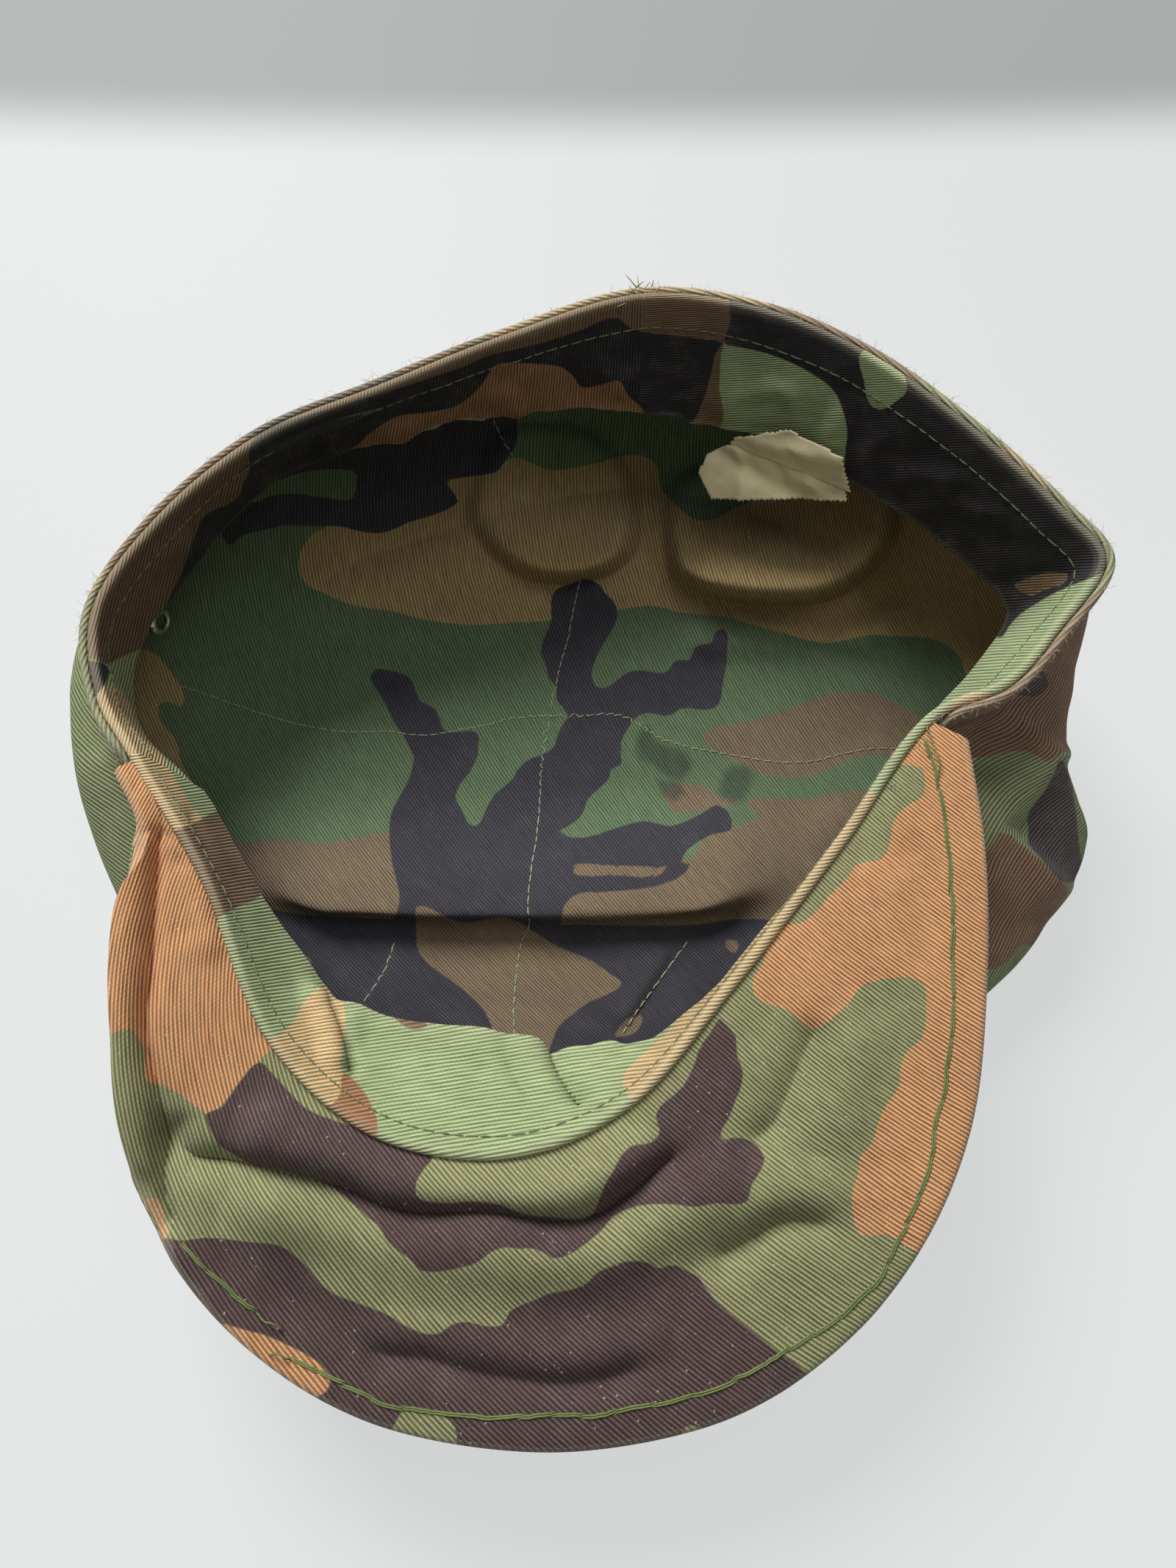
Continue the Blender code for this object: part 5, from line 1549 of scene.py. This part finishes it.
class FIELDCAP_OT_mending(bpy.types.Operator):
    """Makes the thick hand mending round the visor, with its loose tails."""
    bl_idname = "fieldcap.mending"
    bl_label = "Hand mending"

    def execute(self, context):
        rng = random.Random(11)
        radius = sizes().mending_thread / MM / 2
        stitch = sizes().mending_stitch / MM
        grid, n = visor_cloth()
        points = (grid + n * sizes().visor_fold / MM).reshape(-1, 3)
        normals = n.reshape(-1, 3)
        parts = []
        for run in MENDING_RUNS:
            line = by_length(smooth_line(run, 1.5), 0.8)
            on, up = on_cloth(line, points, normals, 0.0)
            parts += stitch_run(on, up, stitch, -1.2, radius, radius * 1.5, rng, sway=0.3, strands=2)
        tails = [
            [(88.7, 0), (89.9, 4), (89, 8), (88.3, 12), (87.4, 16)],
            [(-71, -123.5), (-69, -125), (-67, -125.4), (-65.2, -127)],
            [(-63.1, -132.5), (-65.5, -131), (-67.5, -131.6)],
        ]
        for tail in tails:
            line = by_length(smooth_line(tail, 0.8), 0.7)
            on, up = on_cloth(line, points, normals, radius)
            lift = np.sin(np.linspace(0, math.pi, len(on)))[:, None] * 1.4
            parts.append(tube(on + up * lift, radius * 0.8))
        material = thread_material("green_mending_thread", colours().mending, 0.7)
        thread_piece("mending_stitches", parts, material, ["visor_mending_stitch"])
        return {"FINISHED"}


class FIELDCAP_OT_fuzz(bpy.types.Operator):
    """Makes the worn rim's loose fibres and the frayed threads of the centre-back seam."""
    bl_idname = "fieldcap.fuzz"
    bl_label = "Loose fibres"

    def execute(self, context):
        rng = random.Random(23)
        parts = []
        for _ in range(900):
            u = rng.uniform(-0.6, 16.4)
            start = on_loop(RIM, u)[0]
            outward = rim_outward(np.array([u]))[0]
            round_it = np.cross(outward, (0, 0, 1.0))
            start = start + outward * rng.uniform(-1.0, 1.5) + np.array([0, 0, rng.uniform(0, 0.8)])
            way = outward * rng.uniform(0.1, 1.0) + round_it * rng.uniform(-1, 1)
            way = unit(way + np.array([0, 0, rng.uniform(-0.1, 0.6)]))
            bend = round_it * rng.uniform(-0.6, 0.6)
            long = rng.uniform(0.7, 2.4)
            path = [start + way * long * f + bend * long * f * f for f in (0, 0.33, 0.66, 1.0)]
            parts.append(tube(path, np.array([0.045, 0.04, 0.035, 0.02]), 3))
        material = thread_material("worn_cotton_fibre", (0.42, 0.40, 0.28), 0.4)
        thread_piece("rim_fibres", parts, material)
        parts = []
        seam = on_loop(RIM, BACK_SEAM)[0]
        outward = rim_outward(np.array([BACK_SEAM]))[0]
        round_it = np.cross(outward, (0, 0, 1.0))
        for _ in range(20):
            start = seam + round_it * rng.uniform(-2.2, 2.2) + outward * rng.uniform(-1.6, 1.8)
            way = unit(outward * rng.uniform(-0.2, 1.0) + round_it * rng.uniform(-1, 1)
                       + np.array([0, 0, rng.uniform(0.0, 1.0)]))
            long = rng.uniform(1.2, 4.2)
            bend = np.array([rng.uniform(-1, 1), rng.uniform(-1, 1), rng.uniform(-0.6, 0.4)]) * 0.4
            path = [start + (way * f + bend * f * f) * long for f in (0, 0.25, 0.5, 0.75, 1.0)]
            parts.append(tube(path, np.array([0.15, 0.15, 0.14, 0.12, 0.07]), 5))
        material = thread_material("frayed_twill_yarn", (0.36, 0.27, 0.17), 0.8)
        thread_piece("frayed_seam", parts, material)
        return {"FINISHED"}


class FIELDCAP_OT_eyelets(bpy.types.Operator):
    """Makes the four vent eyelets and their washers."""
    bl_idname = "fieldcap.eyelets"
    bl_label = "Vent eyelets"

    def execute(self, context):
        metal = metal_material("worn_nickel", colours().nickel)
        flange = sizes().eyelet_flange / MM / 2
        bore = sizes().eyelet_bore / MM / 2
        for name, (column, step) in EYELETS.items():
            row, k = crown_row(step), round(column * COLUMN_STEPS)
            for side, kind, seat in ((1, "eyelet", 1.5), (-1, "washer", 1.0)):
                grid, n = crown_cloth()[0 if kind == "eyelet" else 1]
                centre, axis = grid[row, k], n[row, k]
                profile = [(bore, -0.6), (bore, 0.25), (bore + 0.25, 0.55), (bore + 0.8, 0.62),
                           (flange - 0.7, 0.42), (flange - 0.15, 0.15), (flange, -0.05),
                           (flange - 0.2, -0.2), (bore + 0.6, -0.1), (bore + 0.35, -0.6)]
                verts, faces = ring(profile, centre + axis * seat * side, axis * side)
                piece = make_object(f"vent_{kind}_{name}", verts, faces, metal)
                finish_piece(piece, "cap", [f"{kind}_{name}"])
        return {"FINISHED"}


def flat_grid(x, y):
    across, down = np.meshgrid(x, y)
    return np.stack([across.ravel(), down.ravel()], 1)


def crumpled(flat, folds, size, seed):
    """Heights of a crumpled tape: its folds, and lumps of a size in mm."""
    lumps = soft_noise(np.stack([flat[:, 0], flat[:, 1], flat[:, 0] * 0], 1), size, seed)
    return relief(flat, folds) + lumps * 0.5


def torn_tape(name, flat, columns, outline, margin, points, material):
    """The part of a grid of tape that is inside its torn outline, or within a margin of it."""
    keep = inside_line(flat, outline) > -margin
    faces = grid_faces(len(flat) // columns, columns, False)
    used, faces = np.unique(faces[keep[faces].all(1)], return_inverse=True)
    return make_object(name, points[used], faces.reshape(-1, 4), material, {"weave": flat[used]},
                       thick=0.35, offset=0.0)


class FIELDCAP_OT_label(bpy.types.Operator):
    """Makes the crumpled tape label that swings under the sweatband."""
    bl_idname = "fieldcap.label"
    bl_label = "Label"

    def execute(self, context):
        material = tape_material("yellowed_tape", colours().label)
        along, inward = LABEL_HINGE, np.array([LABEL_HINGE[1], -LABEL_HINGE[0], 0.0])
        tilt = math.radians(33.0)
        down = inward * math.sin(tilt) - np.array([0, 0, math.cos(tilt)])
        flat = flat_grid(np.linspace(-17.0, 23.0, 90), np.linspace(-2.0, 17.0, 44))
        lift = crumpled(flat, [
            (1.2, 2.2, [(-14, 4), (-4, 5), (8, 6), (20, 3)]),
            (-0.9, 1.6, [(-8, 0), (-4, 8), (-2, 14)]),
            (0.9, 1.8, [(2, 0), (6, 6), (12, 8)]),
            (-0.8, 1.6, [(10, 1), (14, 4), (20, 4)]),
        ], 7.0, 31.0)
        lift *= ease((flat[:, 1] + 0.5) / 3.5)
        points = LABEL_PIVOT + flat @ np.array([along, down]) + np.outer(lift, np.cross(along, down))
        outline = [(-9, 0), (19.08, 0), (20.88, 3), (-10.08, 15), (-15.12, 10.05), (-14.4, 4.95)]
        tape = torn_tape("label_tape", flat, 90, outline, 0.35, points, material)
        finish_piece(tape, "label", ["care_label"])
        upright = np.array([0.127, 0.285, 0.95])
        flat = flat_grid(np.linspace(-11, 22, 60), np.linspace(-1.5, 10.5, 26))
        lift = 1.5 + crumpled(flat, [
            (1.1, 2.4, [(-6, 1), (2, 4), (12, 7), (18, 8)]),
            (-0.8, 1.6, [(2, 9), (3, 5), (8, 1)]),
        ], 6.0, 47.0)
        lift *= 0.2 + 0.8 * ease((flat[:, 1] + 0.5) / 6.0)
        points = LABEL_PIVOT + flat @ np.array([along, upright])
        points += np.outer(lift, np.cross(along, upright))
        outline = [(-10, -0.6), (-9.1, 1.9), (-1.6, 7.1), (2.9, 9.4), (10, 9), (16.7, 8.6),
                   (18.6, 4), (21, -0.6)]
        root = torn_tape("label_root", flat, 60, outline, 0.3, points, material)
        finish_piece(root, "cap")
        return {"FINISHED"}


class FIELDCAP_OT_stage(bpy.types.Operator):
    """Makes the floor, backdrop, lamps and camera."""
    bl_idname = "fieldcap.stage"
    bl_label = "Stage"

    def execute(self, context):
        c = colours()
        profile = [(-1.6, 0.0), (0.5, 0.0), (0.58, 0.01), (0.64, 0.05), (0.66, 0.1), (0.66, 0.3)]
        verts = [(x, y, z) for y, z in profile for x in (-1.6, 1.6)]
        mesh = bpy.data.meshes.new("floor")
        mesh.from_pydata(verts, [], [(2 * k, 2 * k + 1, 2 * k + 3, 2 * k + 2)
                                     for k in range(len(profile) - 1)])
        mesh.shade_smooth()
        mesh.materials.append(paper_material("pale_paper", c.floor, c.backdrop))
        linked("floor", mesh)

        world = bpy.data.worlds.new("soft_room")
        world.use_nodes = True
        background = world.node_tree.nodes["Background"]
        background.inputs["Color"].default_value = (0.96, 0.98, 1.0, 1.0)
        background.inputs["Strength"].default_value = 0.17
        context.scene.world = world
        aim = Vector((0, -0.02, 0.03))
        lamps = {
            "window": ((-0.50, 1.00, 1.30), 0.8, 35.0, (1.0, 0.99, 0.97)),
            "ceiling": ((0.25, -0.10, 1.7), 0.9, 5.0, (0.99, 0.995, 1.0)),
        }
        for name, (place, size, power, tint) in lamps.items():
            lamp = bpy.data.lights.new(name, "AREA")
            lamp.shape = "RECTANGLE"
            lamp.size = size
            lamp.size_y = size
            lamp.energy = power
            lamp.color = tint
            hung = linked(name, lamp)
            hung.location = place
            hung.rotation_euler = (aim - Vector(place)).to_track_quat("-Z", "Y").to_euler()
        camera = bpy.data.cameras.new("camera")
        camera.sensor_fit = "AUTO"
        camera.sensor_width = 36.0
        camera.lens = 27.054852
        camera.clip_start = 0.01
        stand = linked("camera", camera)
        stand.location = EYE * MM
        stand.rotation_euler = (math.radians(22.0), 0.0, 0.0)
        context.scene.camera = stand
        context.scene.view_settings.view_transform = "Standard"
        return {"FINISHED"}


OPERATORS = (
    FIELDCAP_OT_stage, FIELDCAP_OT_lining, FIELDCAP_OT_outside, FIELDCAP_OT_sweatbands,
    FIELDCAP_OT_elastic, FIELDCAP_OT_visor, FIELDCAP_OT_stitching, FIELDCAP_OT_mending,
    FIELDCAP_OT_fuzz, FIELDCAP_OT_eyelets, FIELDCAP_OT_label,
)


class FIELDCAP_PT_panel(bpy.types.Panel):
    bl_label = "Field Cap"
    bl_idname = "FIELDCAP_PT_panel"
    bl_space_type = "VIEW_3D"
    bl_region_type = "UI"
    bl_category = "Field Cap"

    def draw(self, context):
        for operator in OPERATORS:
            self.layout.operator(operator.bl_idname)
        for group in (context.scene.field_cap_sizes, context.scene.field_cap_colours):
            for key in group.bl_rna.properties.keys():
                if key not in ("rna_type", "name"):
                    self.layout.prop(group, key)


CLASSES = (FieldCapSizes, FieldCapColours, *OPERATORS, FIELDCAP_PT_panel)


def register():
    for item in CLASSES:
        bpy.utils.register_class(item)
    bpy.types.Scene.field_cap_sizes = bpy.props.PointerProperty(type=FieldCapSizes)
    bpy.types.Scene.field_cap_colours = bpy.props.PointerProperty(type=FieldCapColours)


def unregister():
    del bpy.types.Scene.field_cap_colours
    del bpy.types.Scene.field_cap_sizes
    for item in reversed(CLASSES):
        bpy.utils.unregister_class(item)


def main():
    register()
    for operator in OPERATORS:
        group, name = operator.bl_idname.split(".")
        getattr(getattr(bpy.ops, group), name)()


if __name__ == "__main__":
    main()
